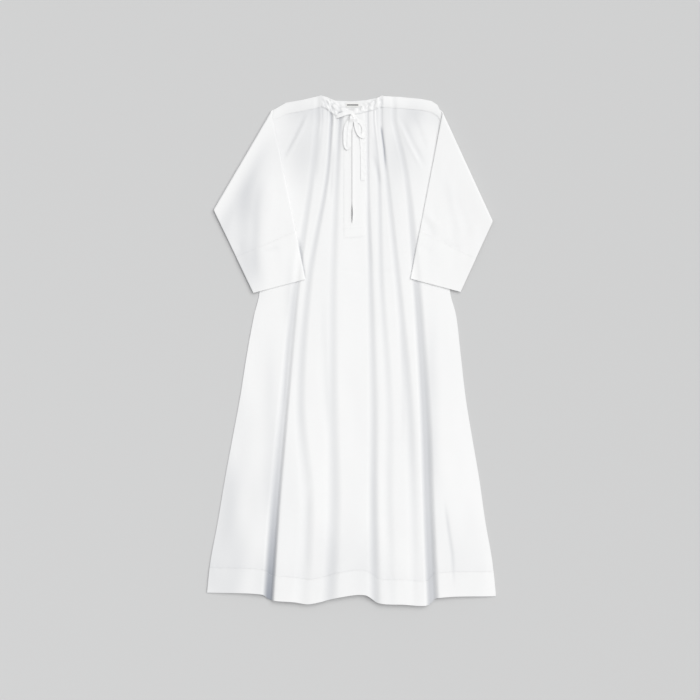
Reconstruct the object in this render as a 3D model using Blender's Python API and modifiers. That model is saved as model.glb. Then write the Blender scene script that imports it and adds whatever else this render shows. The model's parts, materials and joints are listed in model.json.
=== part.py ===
"""An alb, a long loose church robe of white cotton, laid out flat on its back.

Metres. X runs across the robe, Y from the hem (-Y) to the neck (+Y), Z up from the floor.
The origin lies on the floor under the middle of the robe. Every piece starts as the middle
surface of its cloth, worked out from the tables below, and Solidify gives it its wall.
"""

import math
from typing import NamedTuple

import bmesh
import bpy
from mathutils import Vector

# Walls of cloth, and what pieces keep between them.
CLOTH = 0.0012
DOUBLE_CLOTH = 0.0020
SEAM_GAP = 0.0003

# The front opening: a slit down the middle with a stitched band round it.
SLIT_X = 0.0015
SLIT_END_Y = 0.3670
SLIT_GAP = 0.0010
SLIT_GAPE = 0.0040
SLIT_GAPE_Y = 0.3960
SLIT_GAPE_REACH = 0.0340
PLACKET_LEFT_X = -0.0226
PLACKET_RIGHT_X = 0.0397
PLACKET_END_Y = 0.3260

# Widths and depths that were cut.
NECK_LEFT_X = -0.0870
NECK_RIGHT_X = 0.0930
HEM_DEPTH = 0.0720
BACK_CASING_DEPTH = 0.0240
CUFF_SHARE = 0.28

# How high the front's middle surface lies: at its edges, and over the hem's double cloth.
EDGE_Z = 0.0021
HEM_EDGE_Z = 0.0034
HEM_RISE_Y = -0.5400
HEM_RISE = 0.0900
# At the shoulders the front comes down to the back over this distance, from beside the neck.
SHOULDER_ROLL = 0.0400
BESIDE_NECK = 0.0300

# Y of the places where the front's folds are given, from the hem up to the neck.
STATIONS = (-0.72, -0.45, -0.15, 0.20, 0.50, 0.665)
CREST_Z = (0.0165, 0.0135, 0.0100, 0.0070, 0.0062, 0.0062)


class Fold(NamedTuple):
    """A fold that runs down the front: values at each of STATIONS."""

    name: str
    x: tuple
    half_width: tuple
    share: tuple  # of the front's height, taken away in the middle of the fold
    splits: int  # columns of the mesh on each half of the fold


FOLDS = (
    Fold(
        "left_pleat",
        x=(-0.2416, -0.2175, -0.1943, -0.1598, -0.1157, -0.0990),
        half_width=(0.024, 0.018, 0.013, 0.010, 0.012, 0.012),
        share=(0.95, 0.92, 0.85, 0.70, 0.40, 0.50),
        splits=2,
    ),
    Fold(
        "left_fold",
        x=(-0.1459, -0.1285, -0.1482, -0.1238, -0.0713, -0.0597),
        half_width=(0.030, 0.026, 0.020, 0.014, 0.010, 0.008),
        share=(0.22, 0.20, 0.20, 0.35, 0.50, 0.60),
        splits=1,
    ),
    Fold(
        "left_centre_fold",
        x=(-0.0647, -0.0516, -0.0554, -0.0537, -0.0423, -0.0340),
        half_width=(0.029, 0.026, 0.020, 0.014, 0.010, 0.007),
        share=(0.20, 0.20, 0.22, 0.30, 0.30, 0.40),
        splits=1,
    ),
    Fold(
        "right_centre_fold",
        x=(0.0670, 0.0629, 0.0629, 0.0550, 0.0480, 0.0475),
        half_width=(0.022, 0.020, 0.018, 0.012, 0.007, 0.006),
        share=(0.32, 0.30, 0.32, 0.35, 0.30, 0.35),
        splits=1,
    ),
    Fold(
        "right_faint_fold",
        x=(0.1151, 0.1064, 0.1076, 0.0861, 0.0789, 0.0640),
        half_width=(0.022, 0.020, 0.015, 0.012, 0.009, 0.006),
        share=(0.05, 0.10, 0.16, 0.22, 0.30, 0.30),
        splits=1,
    ),
    Fold(
        "right_fold",
        x=(0.1818, 0.1778, 0.1659, 0.1343, 0.1018, 0.0847),
        half_width=(0.022, 0.020, 0.015, 0.012, 0.009, 0.008),
        share=(0.08, 0.18, 0.28, 0.45, 0.65, 0.65),
        splits=2,
    ),
    Fold(
        "right_pleat",
        x=(0.2349, 0.2230, 0.2123, 0.1885, 0.1595, 0.1227),
        half_width=(0.020, 0.020, 0.017, 0.014, 0.012, 0.012),
        share=(0.95, 0.92, 0.85, 0.75, 0.45, 0.50),
        splits=2,
    ),
)
FOLDS_LEFT_OF_SLIT = 3
SIDE_SPLITS = 3

# The body's outline: (y, left x, right x) from the hem up to the underarm.
SIDES = (
    (-0.705, -0.4185, 0.4182),
    (-0.610, -0.4080, 0.4080),
    (-0.495, -0.3866, 0.3880),
    (-0.373, -0.3663, 0.3705),
    (-0.250, -0.3435, 0.3495),
    (-0.140, -0.3230, 0.3315),
    (-0.010, -0.3025, 0.3165),
    (0.100, -0.2822, 0.3036),
    (0.170, -0.2660, 0.2860),
    (0.419, -0.2590, 0.2630),
)
# Above the underarm the side is the armhole, a straight line to the shoulder tip.
UNDERARM_Y = 0.4190
SHOULDER_TIP_Y = 0.6974
SHOULDER_TIP_X = (-0.2245, 0.2560)
# The top edge of the front, (x, y): shoulder, dip of the gathered neck, shoulder.
FRONT_TOP = (
    (-0.2245, 0.6974),
    (-0.1894, 0.7175),
    (-0.1401, 0.7262),
    (-0.0870, 0.7388),
    (-0.0705, 0.7300),
    (-0.0560, 0.7170),
    (-0.0386, 0.7059),
    (-0.0183, 0.7015),
    (0.0015, 0.7006),
    (0.0252, 0.7030),
    (0.0484, 0.7117),
    (0.0658, 0.7218),
    (0.0847, 0.7371),
    (0.1412, 0.7342),
    (0.2021, 0.7286),
    (0.2326, 0.7224),
    (0.2500, 0.7110),
    (0.2560, 0.6974),
)
# How deep the band is below that edge: (x, depth). It is narrow where the neck is tied.
BAND_DEPTHS = (
    (-0.0870, 0.0330),
    (-0.0400, 0.0300),
    (-0.0180, 0.0180),
    (0.0450, 0.0190),
    (0.0850, 0.0330),
)
# The back's neck edge lies higher than the front's, so the neck stands open between them.
BACK_TOP = (
    (-0.2245, 0.6974),
    (-0.1894, 0.7175),
    (-0.1401, 0.7262),
    (-0.0870, 0.7388),
    (-0.0705, 0.7345),
    (-0.0476, 0.7240),
    (0.0015, 0.7221),
    (0.0426, 0.7253),
    (0.0766, 0.7325),
    (0.0847, 0.7371),
    (0.1412, 0.7342),
    (0.2021, 0.7286),
    (0.2326, 0.7224),
    (0.2500, 0.7110),
    (0.2560, 0.6974),
)
# The front hem hangs longer on the raised folds; the back hem is straight.
FRONT_HEM = (
    (-0.4185, -0.7018),
    (-0.2600, -0.7064),
    (-0.2358, -0.7218),
    (-0.1662, -0.7285),
    (-0.1209, -0.7340),
    (-0.0299, -0.7137),
    (0.0397, -0.7082),
    (0.0774, -0.7308),
    (0.1491, -0.7354),
    (0.2224, -0.7375),
    (0.2485, -0.7169),
    (0.4182, -0.7122),
)
BACK_HEM = ((-0.4185, -0.7018), (0.0, -0.7060), (0.4182, -0.7115))

# Rows of the front's mesh: down the band, to the underarm, to the slit's end, to the
# placket's end and to the hem's seam. The shoulder straps and the neck casing cover the band.
BODY_ROWS = (2, 5, 2, 1, 11)
HEM_ROWS = 3

# A sleeve is a flat tube of two layers that is bent over a line from the shoulder tip.
SLEEVE_LOW_Z = CLOTH / 2
SLEEVE_LAYER_GAP = 0.0026
SLEEVE_FOLD_Z = 0.0058
SLEEVE_BEND = 0.0040  # radius of the bend that measures how much cloth the fold takes
SLEEVE_BEND_STEPS = 6
SLEEVE_EDGE_STEPS = 4


class Sleeve(NamedTuple):
    """Corners of a sleeve as it lies, (x, y). The cuff's two corners are past the fold."""

    side: str
    shoulder: tuple
    underarm: tuple
    elbow: tuple
    cuff_inner: tuple
    cuff_outer: tuple


SLEEVES = (
    Sleeve(
        "left",
        shoulder=(SHOULDER_TIP_X[0], SHOULDER_TIP_Y),
        underarm=(SIDES[-1][1], UNDERARM_Y),
        elbow=(-0.4045, 0.3990),
        cuff_inner=(-0.1343, 0.2053),
        cuff_outer=(-0.2833, 0.1665),
    ),
    Sleeve(
        "right",
        shoulder=(SHOULDER_TIP_X[1], SHOULDER_TIP_Y),
        underarm=(SIDES[-1][2], UNDERARM_Y),
        elbow=(0.4066, 0.3811),
        cuff_inner=(0.1717, 0.2071),
        cuff_outer=(0.3152, 0.1694),
    ),
)

# The neck's drawstring is a flat tape tied in a bow. Each route is (x, y, height over the front).
TAPE_WIDTH = 0.0120
TAPE_WALL = 0.0010
TAPE_STEPS = 3  # from one given point of a route to the next
KNOT = (0.0050, 0.6755, 0.0078)
KNOT_RADII = (0.0090, 0.0070, 0.0040)
STRAND = (
    (-0.0560, 0.6720, 0.0066),
    (-0.0400, 0.6790, 0.0068),
    (-0.0240, 0.6850, 0.0070),
    (-0.0080, 0.6905, 0.0070),
    (0.0010, 0.6895, 0.0070),
)
LOOP_LEFT = (
    (-0.0067, 0.6653, 0.0056),
    (-0.0200, 0.6470, 0.0054),
    (-0.0195, 0.6300, 0.0054),
    (-0.0160, 0.6120, 0.0056),
    (-0.0150, 0.5950, 0.0060),
    (-0.0105, 0.5850, 0.0078),
    (-0.0045, 0.5930, 0.0094),
    (-0.0025, 0.6110, 0.0100),
    (-0.0020, 0.6360, 0.0104),
    (-0.0015, 0.6610, 0.0106),
)
LOOP_RIGHT = (
    (0.0190, 0.6600, 0.0056),
    (0.0290, 0.6530, 0.0054),
    (0.0350, 0.6400, 0.0054),
    (0.0355, 0.6230, 0.0058),
    (0.0315, 0.6120, 0.0074),
    (0.0250, 0.6180, 0.0088),
    (0.0200, 0.6330, 0.0090),
    (0.0150, 0.6480, 0.0090),
    (0.0120, 0.6600, 0.0088),
)
TAIL_LEFT = (
    (-0.0010, 0.6640, 0.0034),
    (-0.0080, 0.6400, 0.0034),
    (-0.0100, 0.6150, 0.0034),
    (-0.0090, 0.5890, 0.0034),
)
TAIL_RIGHT = (
    (0.0150, 0.6630, 0.0034),
    (0.0220, 0.6380, 0.0034),
    (0.0290, 0.6100, 0.0034),
    (0.0330, 0.5700, 0.0034),
    (0.0339, 0.5300, 0.0034),
    (0.0339, 0.4920, 0.0034),
)

LABEL_SIZE = (0.0380, 0.0110, 0.0010)
LABEL_MIDDLE = (0.0035, 0.7110, 0.0036)

COTTON = ("alb_cotton", (0.88, 0.89, 0.90), 0.85)
HEM_COTTON = ("alb_double_cotton", (0.92, 0.92, 0.92), 0.85)
TAPE_COTTON = ("alb_cotton_tape", (0.93, 0.93, 0.93), 0.80)
LABEL_COTTON = ("alb_label", (0.80, 0.80, 0.80), 0.70)


def clear_scene():
    for old in list(bpy.data.objects):
        bpy.data.objects.remove(old)


def new_collection(name):
    group = bpy.data.collections.new(name)
    bpy.context.scene.collection.children.link(group)
    return group


def material(finish):
    """The named material, made the first time that it is asked for."""
    name, colour, roughness = finish
    found = bpy.data.materials.get(name)
    if found:
        return found
    made = bpy.data.materials.new(name)
    made.use_nodes = True
    shader = made.node_tree.nodes["Principled BSDF"]
    shader.inputs["Base Color"].default_value = (*colour, 1.0)
    shader.inputs["Roughness"].default_value = roughness
    shader.inputs["Metallic"].default_value = 0.0
    return made


def clamp(value):
    return min(max(value, 0.0), 1.0)


def on_curve(stations, values, at):
    """A smooth value at a place between rising stations; past the ends it stays level."""
    if at <= stations[0]:
        return values[0]
    if at >= stations[-1]:
        return values[-1]
    i = max(k for k in range(len(stations) - 1) if stations[k] <= at)
    before, after = max(i - 1, 0), min(i + 2, len(stations) - 1)
    span = stations[i + 1] - stations[i]
    slope_here = (values[i + 1] - values[before]) / (stations[i + 1] - stations[before])
    slope_next = (values[after] - values[i]) / (stations[after] - stations[i])
    t = (at - stations[i]) / span
    return (
        values[i] * (1 + 2 * t) * (1 - t) ** 2
        + slope_here * span * t * (1 - t) ** 2
        + values[i + 1] * t * t * (3 - 2 * t)
        + slope_next * span * t * t * (t - 1)
    )


def on_edge(points, x):
    """Y of a line of (x, y) points at x; past its ends it stays level."""
    if x <= points[0][0]:
        return points[0][1]
    for (x0, y0), (x1, y1) in zip(points, points[1:]):
        if x <= x1:
            return y0 + (y1 - y0) * (x - x0) / (x1 - x0)
    return points[-1][1]


def sides(y):
    """X of the body's left and right edges at y."""
    heights = [row[0] for row in SIDES]
    edges = [on_curve(heights, [row[k] for row in SIDES], y) for k in (1, 2)]
    up = clamp((y - UNDERARM_Y) / (SHOULDER_TIP_Y - UNDERARM_Y))
    return [edge + (tip - edge) * up for edge, tip in zip(edges, SHOULDER_TIP_X)]


def front_z(x, y):
    """Height of the front's middle surface: a low arch from side to side, cut by the folds."""
    left, right = sides(y)
    across = (2 * x - left - right) / (right - left)
    lowest = EDGE_Z + (HEM_EDGE_Z - EDGE_Z) * clamp((HEM_RISE_Y - y) / HEM_RISE)
    lift = (on_curve(STATIONS, CREST_Z, y) - lowest) * (1 - clamp(abs(across)) ** 3)
    from_neck = clamp(max(NECK_LEFT_X - x, x - NECK_RIGHT_X) / BESIDE_NECK)
    below_edge = clamp((on_edge(FRONT_TOP, x) - y) / SHOULDER_ROLL)
    lift *= 1 - from_neck * (1 - below_edge) ** 2
    for fold in FOLDS:
        off = x - on_curve(STATIONS, fold.x, y)
        off /= on_curve(STATIONS, fold.half_width, y)
        if abs(off) < 1:
            lift *= 1 - on_curve(STATIONS, fold.share, y) * (1 + math.cos(math.pi * off)) / 2
    return lowest + lift


def column_lines(y):
    """X of the front's columns at y, which run down its edges, its folds and its slit."""
    left, right = sides(y)
    lines, splits = [left], [SIDE_SPLITS]
    for number, fold in enumerate(FOLDS):
        if number == FOLDS_LEFT_OF_SLIT:
            lines += [PLACKET_LEFT_X, SLIT_X, PLACKET_RIGHT_X]
            splits += [1, 1, 1]
        middle = on_curve(STATIONS, fold.x, y)
        reach = on_curve(STATIONS, fold.half_width, y)
        lines += [middle - reach, middle, middle + reach]
        splits += [fold.splits, fold.splits, 1]
    lines.append(right)
    splits[-1] = SIDE_SPLITS
    columns = [lines[0]]
    for start, end, parts in zip(lines, lines[1:], splits):
        columns += [start + (end - start) * (k + 1) / parts for k in range(parts)]
    return columns


def nearest_column(x, y):
    columns = column_lines(y)
    return min(range(len(columns)), key=lambda k: abs(columns[k] - x))


def front_y(column, share):
    """Y down a column: 0 is its top edge, 1 the band's lower edge, 2 the hem's seam and 3 its hem."""
    top_x = column_lines(SHOULDER_TIP_Y)[column]
    top = on_edge(FRONT_TOP, top_x)
    hem = on_curve(*zip(*FRONT_HEM), column_lines(SIDES[0][0])[column])
    marks = (top, top - on_edge(BAND_DEPTHS, top_x), hem + HEM_DEPTH, hem)
    zone = min(int(share), len(marks) - 2)
    return marks[zone] + (marks[zone + 1] - marks[zone]) * (share - zone)


def share_down(column, y):
    """How far down a column y lies, between the band's lower edge and the hem's seam."""
    band, seam = front_y(column, 1), front_y(column, 2)
    return 1 + (band - y) / (band - seam)


def row_shares():
    """Where the front's rows lie, from its top edge down to the hem's seam."""
    slit = nearest_column(SLIT_X, 0.0)
    marks = (
        0,
        1,
        share_down(0, UNDERARM_Y),
        share_down(slit, SLIT_END_Y),
        share_down(slit, PLACKET_END_Y),
        2,
    )
    shares = [0]
    for start, end, rows in zip(marks, marks[1:], BODY_ROWS):
        shares += [start + (end - start) * (k + 1) / rows for k in range(rows)]
    return shares


def slit_gap(y):
    off = (y - SLIT_GAPE_Y) / SLIT_GAPE_REACH
    gape = SLIT_GAPE * (1 + math.cos(math.pi * off)) / 2 if abs(off) < 1 else 0.0
    return SLIT_GAP + gape


def front_grid(columns, shares, lift, inset):
    """Points of a piece of the front between two columns, keyed (column, row, side of slit)."""
    slit = nearest_column(SLIT_X, 0.0)
    first, last = columns
    points = {}
    for column in range(first, last + 1):
        for row, share in enumerate(shares):
            y = front_y(column, share)
            x = column_lines(y)[column]
            z = front_z(x, y) + lift
            x += inset * ((column == first) - (column == last))
            y += inset * ((row == len(shares) - 1) - (row == 0))
            if column == slit and y > SLIT_END_Y + SEAM_GAP:
                half = slit_gap(y) / 2
                points[column, row, -1] = Vector((x - half, y, z))
                points[column, row, 1] = Vector((x + half, y, z))
            else:
                points[column, row, 0] = Vector((x, y, z))
    return points


def sheet_object(name, group, bm, finish, wall):
    """An object from an open surface that faces up, with Solidify's wall on it."""
    bmesh.ops.recalc_face_normals(bm, faces=bm.faces)
    if sum(face.normal.z * face.calc_area() for face in bm.faces) < 0:
        bmesh.ops.reverse_faces(bm, faces=bm.faces)
    mesh = bpy.data.meshes.new(name)
    bm.to_mesh(mesh)
    bm.free()
    mesh.shade_smooth()
    piece = bpy.data.objects.new(name, mesh)
    piece.data.materials.append(material(finish))
    group.objects.link(piece)
    solidify = piece.modifiers.new("wall", "SOLIDIFY")
    solidify.thickness = wall
    solidify.offset = 0.0


def front_piece(name, group, columns, shares, lift=0.0, wall=CLOTH, finish=COTTON):
    points = front_grid(columns, shares, lift, SEAM_GAP / 2)
    bm = bmesh.new()
    made = {key: bm.verts.new(point) for key, point in points.items()}

    def corner(column, row, side):
        return made.get((column, row, 0)) or made.get((column, row, side))

    for column in range(*columns):
        for row in range(len(shares) - 1):
            bm.faces.new(
                (
                    corner(column, row, 1),
                    corner(column, row + 1, 1),
                    corner(column + 1, row + 1, -1),
                    corner(column + 1, row, -1),
                )
            )
    loose = [vertex for vertex in bm.verts if not vertex.link_faces]
    bmesh.ops.delete(bm, geom=loose, context="VERTS")
    sheet_object(name, group, bm, finish, wall)


def flat_piece(name, group, shares, lines, rows, z, wall=CLOTH, finish=COTTON):
    """A flat piece with columns at shares of the body's width, and rows from line to line."""
    bm = bmesh.new()
    grid = []
    for share in shares:
        x = share * SHOULDER_TIP_X[1]
        column = []
        for (upper, lower), parts in zip(zip(lines, lines[1:]), rows):
            for part in range(parts + 1):
                for _ in range(4):  # the lines depend on x and the sides on y, so step to both
                    y = upper(x) + (lower(x) - upper(x)) * part / parts
                    left, right = sides(y)
                    x = left + (right - left) * (share + 1) / 2
                if part or not column:
                    column.append(bm.verts.new((x, y, z)))
        grid.append(column)
    for near, far in zip(grid, grid[1:]):
        for row in range(len(near) - 1):
            bm.faces.new((near[row], near[row + 1], far[row + 1], far[row]))
    sheet_object(name, group, bm, finish, wall)


def shares_across(parts):
    return [2 * k / parts - 1 for k in range(parts + 1)]


def make_front(group):
    top_y = SHOULDER_TIP_Y
    last = len(column_lines(top_y)) - 1
    slit = nearest_column(SLIT_X, top_y)
    neck_left = nearest_column(NECK_LEFT_X, top_y)
    neck_right = nearest_column(NECK_RIGHT_X, top_y)
    placket_left = nearest_column(PLACKET_LEFT_X, 0.0)
    placket_right = nearest_column(PLACKET_RIGHT_X, 0.0)
    shares = row_shares()
    seam_to_hem = [2 + k / HEM_ROWS for k in range(HEM_ROWS + 1)]
    on_front = CLOTH + SEAM_GAP
    band = shares[: BODY_ROWS[0] + 1]
    opening = shares[BODY_ROWS[0] : sum(BODY_ROWS[:4]) + 1]
    front_piece("front_body", group, (0, last), shares)
    front_piece(
        "hem_front", group, (0, last), seam_to_hem, wall=DOUBLE_CLOTH, finish=HEM_COTTON
    )
    front_piece("strap_left", group, (0, neck_left), band, lift=on_front)
    front_piece("casing_left", group, (neck_left, slit), band, lift=on_front)
    front_piece("casing_right", group, (slit, neck_right), band, lift=on_front)
    front_piece("strap_right", group, (neck_right, last), band, lift=on_front)
    front_piece("placket", group, (placket_left, placket_right), opening, lift=on_front)


def make_back(group):
    def neck(x):
        return on_edge(BACK_TOP, x) - SEAM_GAP

    def seam(x):
        return on_edge(BACK_HEM, x) + HEM_DEPTH

    flat_piece(
        "back_body",
        group,
        shares_across(16),
        (neck, lambda x: UNDERARM_Y, lambda x: seam(x) + SEAM_GAP / 2),
        rows=(3, 8),
        z=CLOTH / 2,
    )
    flat_piece(
        "hem_back",
        group,
        shares_across(8),
        (lambda x: seam(x) - SEAM_GAP / 2, lambda x: on_edge(BACK_HEM, x)),
        rows=(1,),
        z=DOUBLE_CLOTH / 2,
        wall=DOUBLE_CLOTH,
        finish=HEM_COTTON,
    )
    flat_piece(
        "casing_back",
        group,
        [share / 10 for share in (-3.2, -2, -1, 0, 1, 2, 3)],
        (neck, lambda x: neck(x) - BACK_CASING_DEPTH),
        rows=(2,),
        z=CLOTH * 1.5 + SEAM_GAP,
    )


def bend_frame(lay):
    """The fold line's start, and the way out from the body across that line."""
    start, elbow = Vector(lay.shoulder), Vector(lay.elbow)
    for _ in range(2):  # the second time round, the bend itself reaches the elbow's corner
        along = (elbow - start).normalized()
        out = Vector((along.y, -along.x)) * math.copysign(1.0, -elbow.x)
        elbow = Vector(lay.elbow) - SLEEVE_FOLD_Z * out
    return start, out


def unfolded(lay, corner):
    """Where a corner of the folded-over part lay before the sleeve was folded."""
    start, out = bend_frame(lay)
    point = Vector(corner)
    past = (point - start).dot(out)
    return point + (math.pi * SLEEVE_BEND - 2 * past) * out


def folded(lay, point):
    """Where a point of the flat tube lies once the tube is bent over the fold line."""
    start, out = bend_frame(lay)
    flat = Vector((point.x, point.y))
    past = (flat - start).dot(out)
    if past <= 0:
        return point
    turn = min(past / SLEEVE_BEND, math.pi)
    rest = max(past - math.pi * SLEEVE_BEND, 0.0)
    radius = SLEEVE_FOLD_Z - point.z
    flat += (radius * math.sin(turn) - rest - past) * out
    return Vector((flat.x, flat.y, SLEEVE_FOLD_Z - radius * math.cos(turn)))


def tube_ring(width):
    """(distance in from the top edge, height) round a flat tube of that width."""
    radius = SLEEVE_LAYER_GAP / 2
    middle = SLEEVE_LOW_Z + radius
    ring = [(radius + (width - 2 * radius) * k / 3, middle + radius) for k in range(3)]
    for k in range(SLEEVE_EDGE_STEPS):
        turn = math.pi * k / SLEEVE_EDGE_STEPS
        ring.append((width - radius + radius * math.sin(turn), middle + radius * math.cos(turn)))
    ring += [(width - radius - (width - 2 * radius) * k / 3, middle - radius) for k in range(3)]
    for k in range(SLEEVE_EDGE_STEPS):
        turn = math.pi * k / SLEEVE_EDGE_STEPS
        ring.append((radius - radius * math.sin(turn), middle - radius * math.cos(turn)))
    return ring


def sleeve_piece(name, group, lay, stations, finish, wall):
    """A stretch of the sleeve's tube between shares of its length, bent over its fold line."""
    shoulder, underarm = Vector(lay.shoulder), Vector(lay.underarm)
    inner, outer = unfolded(lay, lay.cuff_inner), unfolded(lay, lay.cuff_outer)
    bm = bmesh.new()
    rings = []
    for number, share in enumerate(stations):
        top, low = shoulder.lerp(inner, share), underarm.lerp(outer, share)
        inset = SEAM_GAP * ((number == 0) - (number == len(stations) - 1))
        step = (inner - shoulder).normalized() * inset
        width = (low - top).length
        ring = []
        for distance, z in tube_ring(width):
            place = top.lerp(low, distance / width) + step
            ring.append(bm.verts.new((place.x, place.y, z)))
        rings.append(ring)
    count = len(rings[0])
    for near, far in zip(rings, rings[1:]):
        for k in range(count):
            bm.faces.new((near[k], near[(k + 1) % count], far[(k + 1) % count], far[k]))
    start, out = bend_frame(lay)
    for k in range(SLEEVE_BEND_STEPS + 1):
        place = start + out * (math.pi * SLEEVE_BEND * k / SLEEVE_BEND_STEPS)
        everything = bm.verts[:] + bm.edges[:] + bm.faces[:]
        bmesh.ops.bisect_plane(
            bm, geom=everything, plane_co=(*place, 0.0), plane_no=(*out, 0.0), dist=1e-6
        )
    for vertex in bm.verts:
        vertex.co = folded(lay, vertex.co)
    sheet_object(name, group, bm, finish, wall)


def make_sleeves(group):
    seam = 1 - CUFF_SHARE
    for lay in SLEEVES:
        to_cuff = [seam * k / 4 for k in range(5)]
        sleeve_piece(f"sleeve_{lay.side}", group, lay, to_cuff, COTTON, CLOTH)
        cuff = [seam, (seam + 1) / 2, 1.0]
        sleeve_piece(f"cuff_{lay.side}", group, lay, cuff, HEM_COTTON, DOUBLE_CLOTH)


def ribbon(name, group, route, far_point=-1):
    """A flat tape along a route; its width lies level, across the way to its far point."""
    places = [Vector(point) for point in route]
    run = places[far_point] - places[0]
    run.z = 0
    across = run.normalized().cross(Vector((0, 0, 1))) * (TAPE_WIDTH / 2)
    distances = [0.0]
    for a, b in zip(places, places[1:]):
        distances.append(distances[-1] + (b - a).length)
    steps = TAPE_STEPS * (len(places) - 1)
    bm = bmesh.new()
    edge = []
    for k in range(steps + 1):
        at = distances[-1] * k / steps
        middle = Vector([on_curve(distances, [p[axis] for p in places], at) for axis in range(3)])
        middle.z += front_z(middle.x, middle.y)
        edge.append((bm.verts.new(middle - across), bm.verts.new(middle + across)))
    for (a, b), (c, d) in zip(edge, edge[1:]):
        bm.faces.new((a, b, d, c))
    sheet_object(name, group, bm, TAPE_COTTON, TAPE_WALL)


def solid_object(name, group, bm, finish):
    mesh = bpy.data.meshes.new(name)
    bm.to_mesh(mesh)
    bm.free()
    mesh.materials.append(material(finish))
    piece = bpy.data.objects.new(name, mesh)
    group.objects.link(piece)
    return piece


def make_ties(group):
    ribbon("tie_strand", group, STRAND)
    ribbon("tie_loop_left", group, LOOP_LEFT, far_point=len(LOOP_LEFT) // 2)
    ribbon("tie_loop_right", group, LOOP_RIGHT, far_point=len(LOOP_RIGHT) // 2)
    ribbon("tie_tail_left", group, TAIL_LEFT)
    ribbon("tie_tail_right", group, TAIL_RIGHT)
    bm = bmesh.new()
    bmesh.ops.create_uvsphere(bm, u_segments=12, v_segments=8, radius=1.0)
    bmesh.ops.scale(bm, vec=KNOT_RADII, verts=bm.verts)
    bmesh.ops.translate(bm, vec=KNOT, verts=bm.verts)
    bmesh.ops.translate(bm, vec=(0, 0, front_z(KNOT[0], KNOT[1])), verts=bm.verts)
    knot = solid_object("tie_knot", group, bm, TAPE_COTTON)
    knot.data.shade_smooth()


def make_label(group):
    bm = bmesh.new()
    bmesh.ops.create_cube(bm, size=1.0)
    bmesh.ops.scale(bm, vec=LABEL_SIZE, verts=bm.verts)
    bmesh.ops.translate(bm, vec=LABEL_MIDDLE, verts=bm.verts)
    solid_object("neck_label", group, bm, LABEL_COTTON)


def main():
    clear_scene()
    robe = new_collection("alb_robe")
    make_back(robe)
    make_front(robe)
    make_sleeves(robe)
    make_ties(robe)
    make_label(robe)


main()
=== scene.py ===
# %% [markdown]
# # An alb, laid out flat
# An alb is a long white church robe. This one lies on its back with both sleeves folded over
# the front, tied at the neck with a drawstring. The model comes in as a frame, and each plain
# solid in it is replaced by real cloth. The sizes below are the same as the frame's, in metres:
# X across, Y from hem to neck, Z up from the floor.

# %% Tools and the frame
import json
import math
from typing import NamedTuple

import bmesh
import bpy
import numpy as np
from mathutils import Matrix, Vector

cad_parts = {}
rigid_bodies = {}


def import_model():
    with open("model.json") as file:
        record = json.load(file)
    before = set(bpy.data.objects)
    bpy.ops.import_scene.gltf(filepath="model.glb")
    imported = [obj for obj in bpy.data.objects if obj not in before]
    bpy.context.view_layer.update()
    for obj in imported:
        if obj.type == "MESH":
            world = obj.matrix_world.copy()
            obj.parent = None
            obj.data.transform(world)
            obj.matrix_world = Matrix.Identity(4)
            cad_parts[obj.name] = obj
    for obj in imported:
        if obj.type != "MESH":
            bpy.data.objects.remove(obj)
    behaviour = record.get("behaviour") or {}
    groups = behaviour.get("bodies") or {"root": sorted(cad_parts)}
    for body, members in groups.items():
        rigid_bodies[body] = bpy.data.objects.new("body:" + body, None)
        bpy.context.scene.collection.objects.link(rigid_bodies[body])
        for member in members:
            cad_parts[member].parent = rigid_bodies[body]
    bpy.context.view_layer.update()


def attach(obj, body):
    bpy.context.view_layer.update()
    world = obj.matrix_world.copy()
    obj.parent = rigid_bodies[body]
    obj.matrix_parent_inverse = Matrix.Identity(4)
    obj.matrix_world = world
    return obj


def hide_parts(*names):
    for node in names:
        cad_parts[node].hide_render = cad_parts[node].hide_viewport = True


for old in list(bpy.data.objects):
    bpy.data.objects.remove(old)
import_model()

# %% [markdown]
# ## Camera
# Flat garments are shown from straight above. A wide lens would show the sides of everything
# that stands a little off the floor, so a long lens is used, from well above. Its height follows
# from the width that it has to show.

# %% Camera
VIEW_MIDDLE = (-0.0040, 0.0010)
VIEW_WIDTH = 2.030
LENS = 90.0
SENSOR = 36.0

camera_data = bpy.data.cameras.new("above")
camera_data.lens = LENS
camera_data.sensor_width = SENSOR
camera = bpy.data.objects.new("above", camera_data)
camera.location = (*VIEW_MIDDLE, VIEW_WIDTH * LENS / SENSOR)
bpy.context.scene.collection.objects.link(camera)
bpy.context.scene.camera = camera
bpy.context.scene.view_settings.view_transform = "Standard"
print("camera height", round(camera.location.z, 3))

# %% [markdown]
# ## Floor and light
# The robe lies on pale grey paper. White cloth shows its folds only when one side of them gets
# more light than the other. A single hard lamp would do that with black shadows, so the key
# light is a very soft sun, high up past the neck on the right, a large lamp fills the other
# side, and a pale sky lights the rest.

# %% Floor
FLOOR_SIZE = 14.0
FLOOR_GREY = (0.590, 0.592, 0.594)
FLOOR_ROUGHNESS = 0.9
FLOOR_DROP = 0.0005  # how far the paper lies below the cloth's own underside


def plain_material(name, colour, roughness):
    made = bpy.data.materials.new(name)
    made.use_nodes = True
    shader = made.node_tree.nodes["Principled BSDF"]
    shader.inputs["Base Color"].default_value = (*colour, 1.0)
    shader.inputs["Roughness"].default_value = roughness
    return made


bpy.ops.mesh.primitive_plane_add(size=FLOOR_SIZE, location=(0, 0, -FLOOR_DROP))
floor = bpy.context.object
floor.name = "floor"
floor.data.materials.append(plain_material("floor_paper", FLOOR_GREY, FLOOR_ROUGHNESS))
print("floor", FLOOR_SIZE, "m square")

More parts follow.
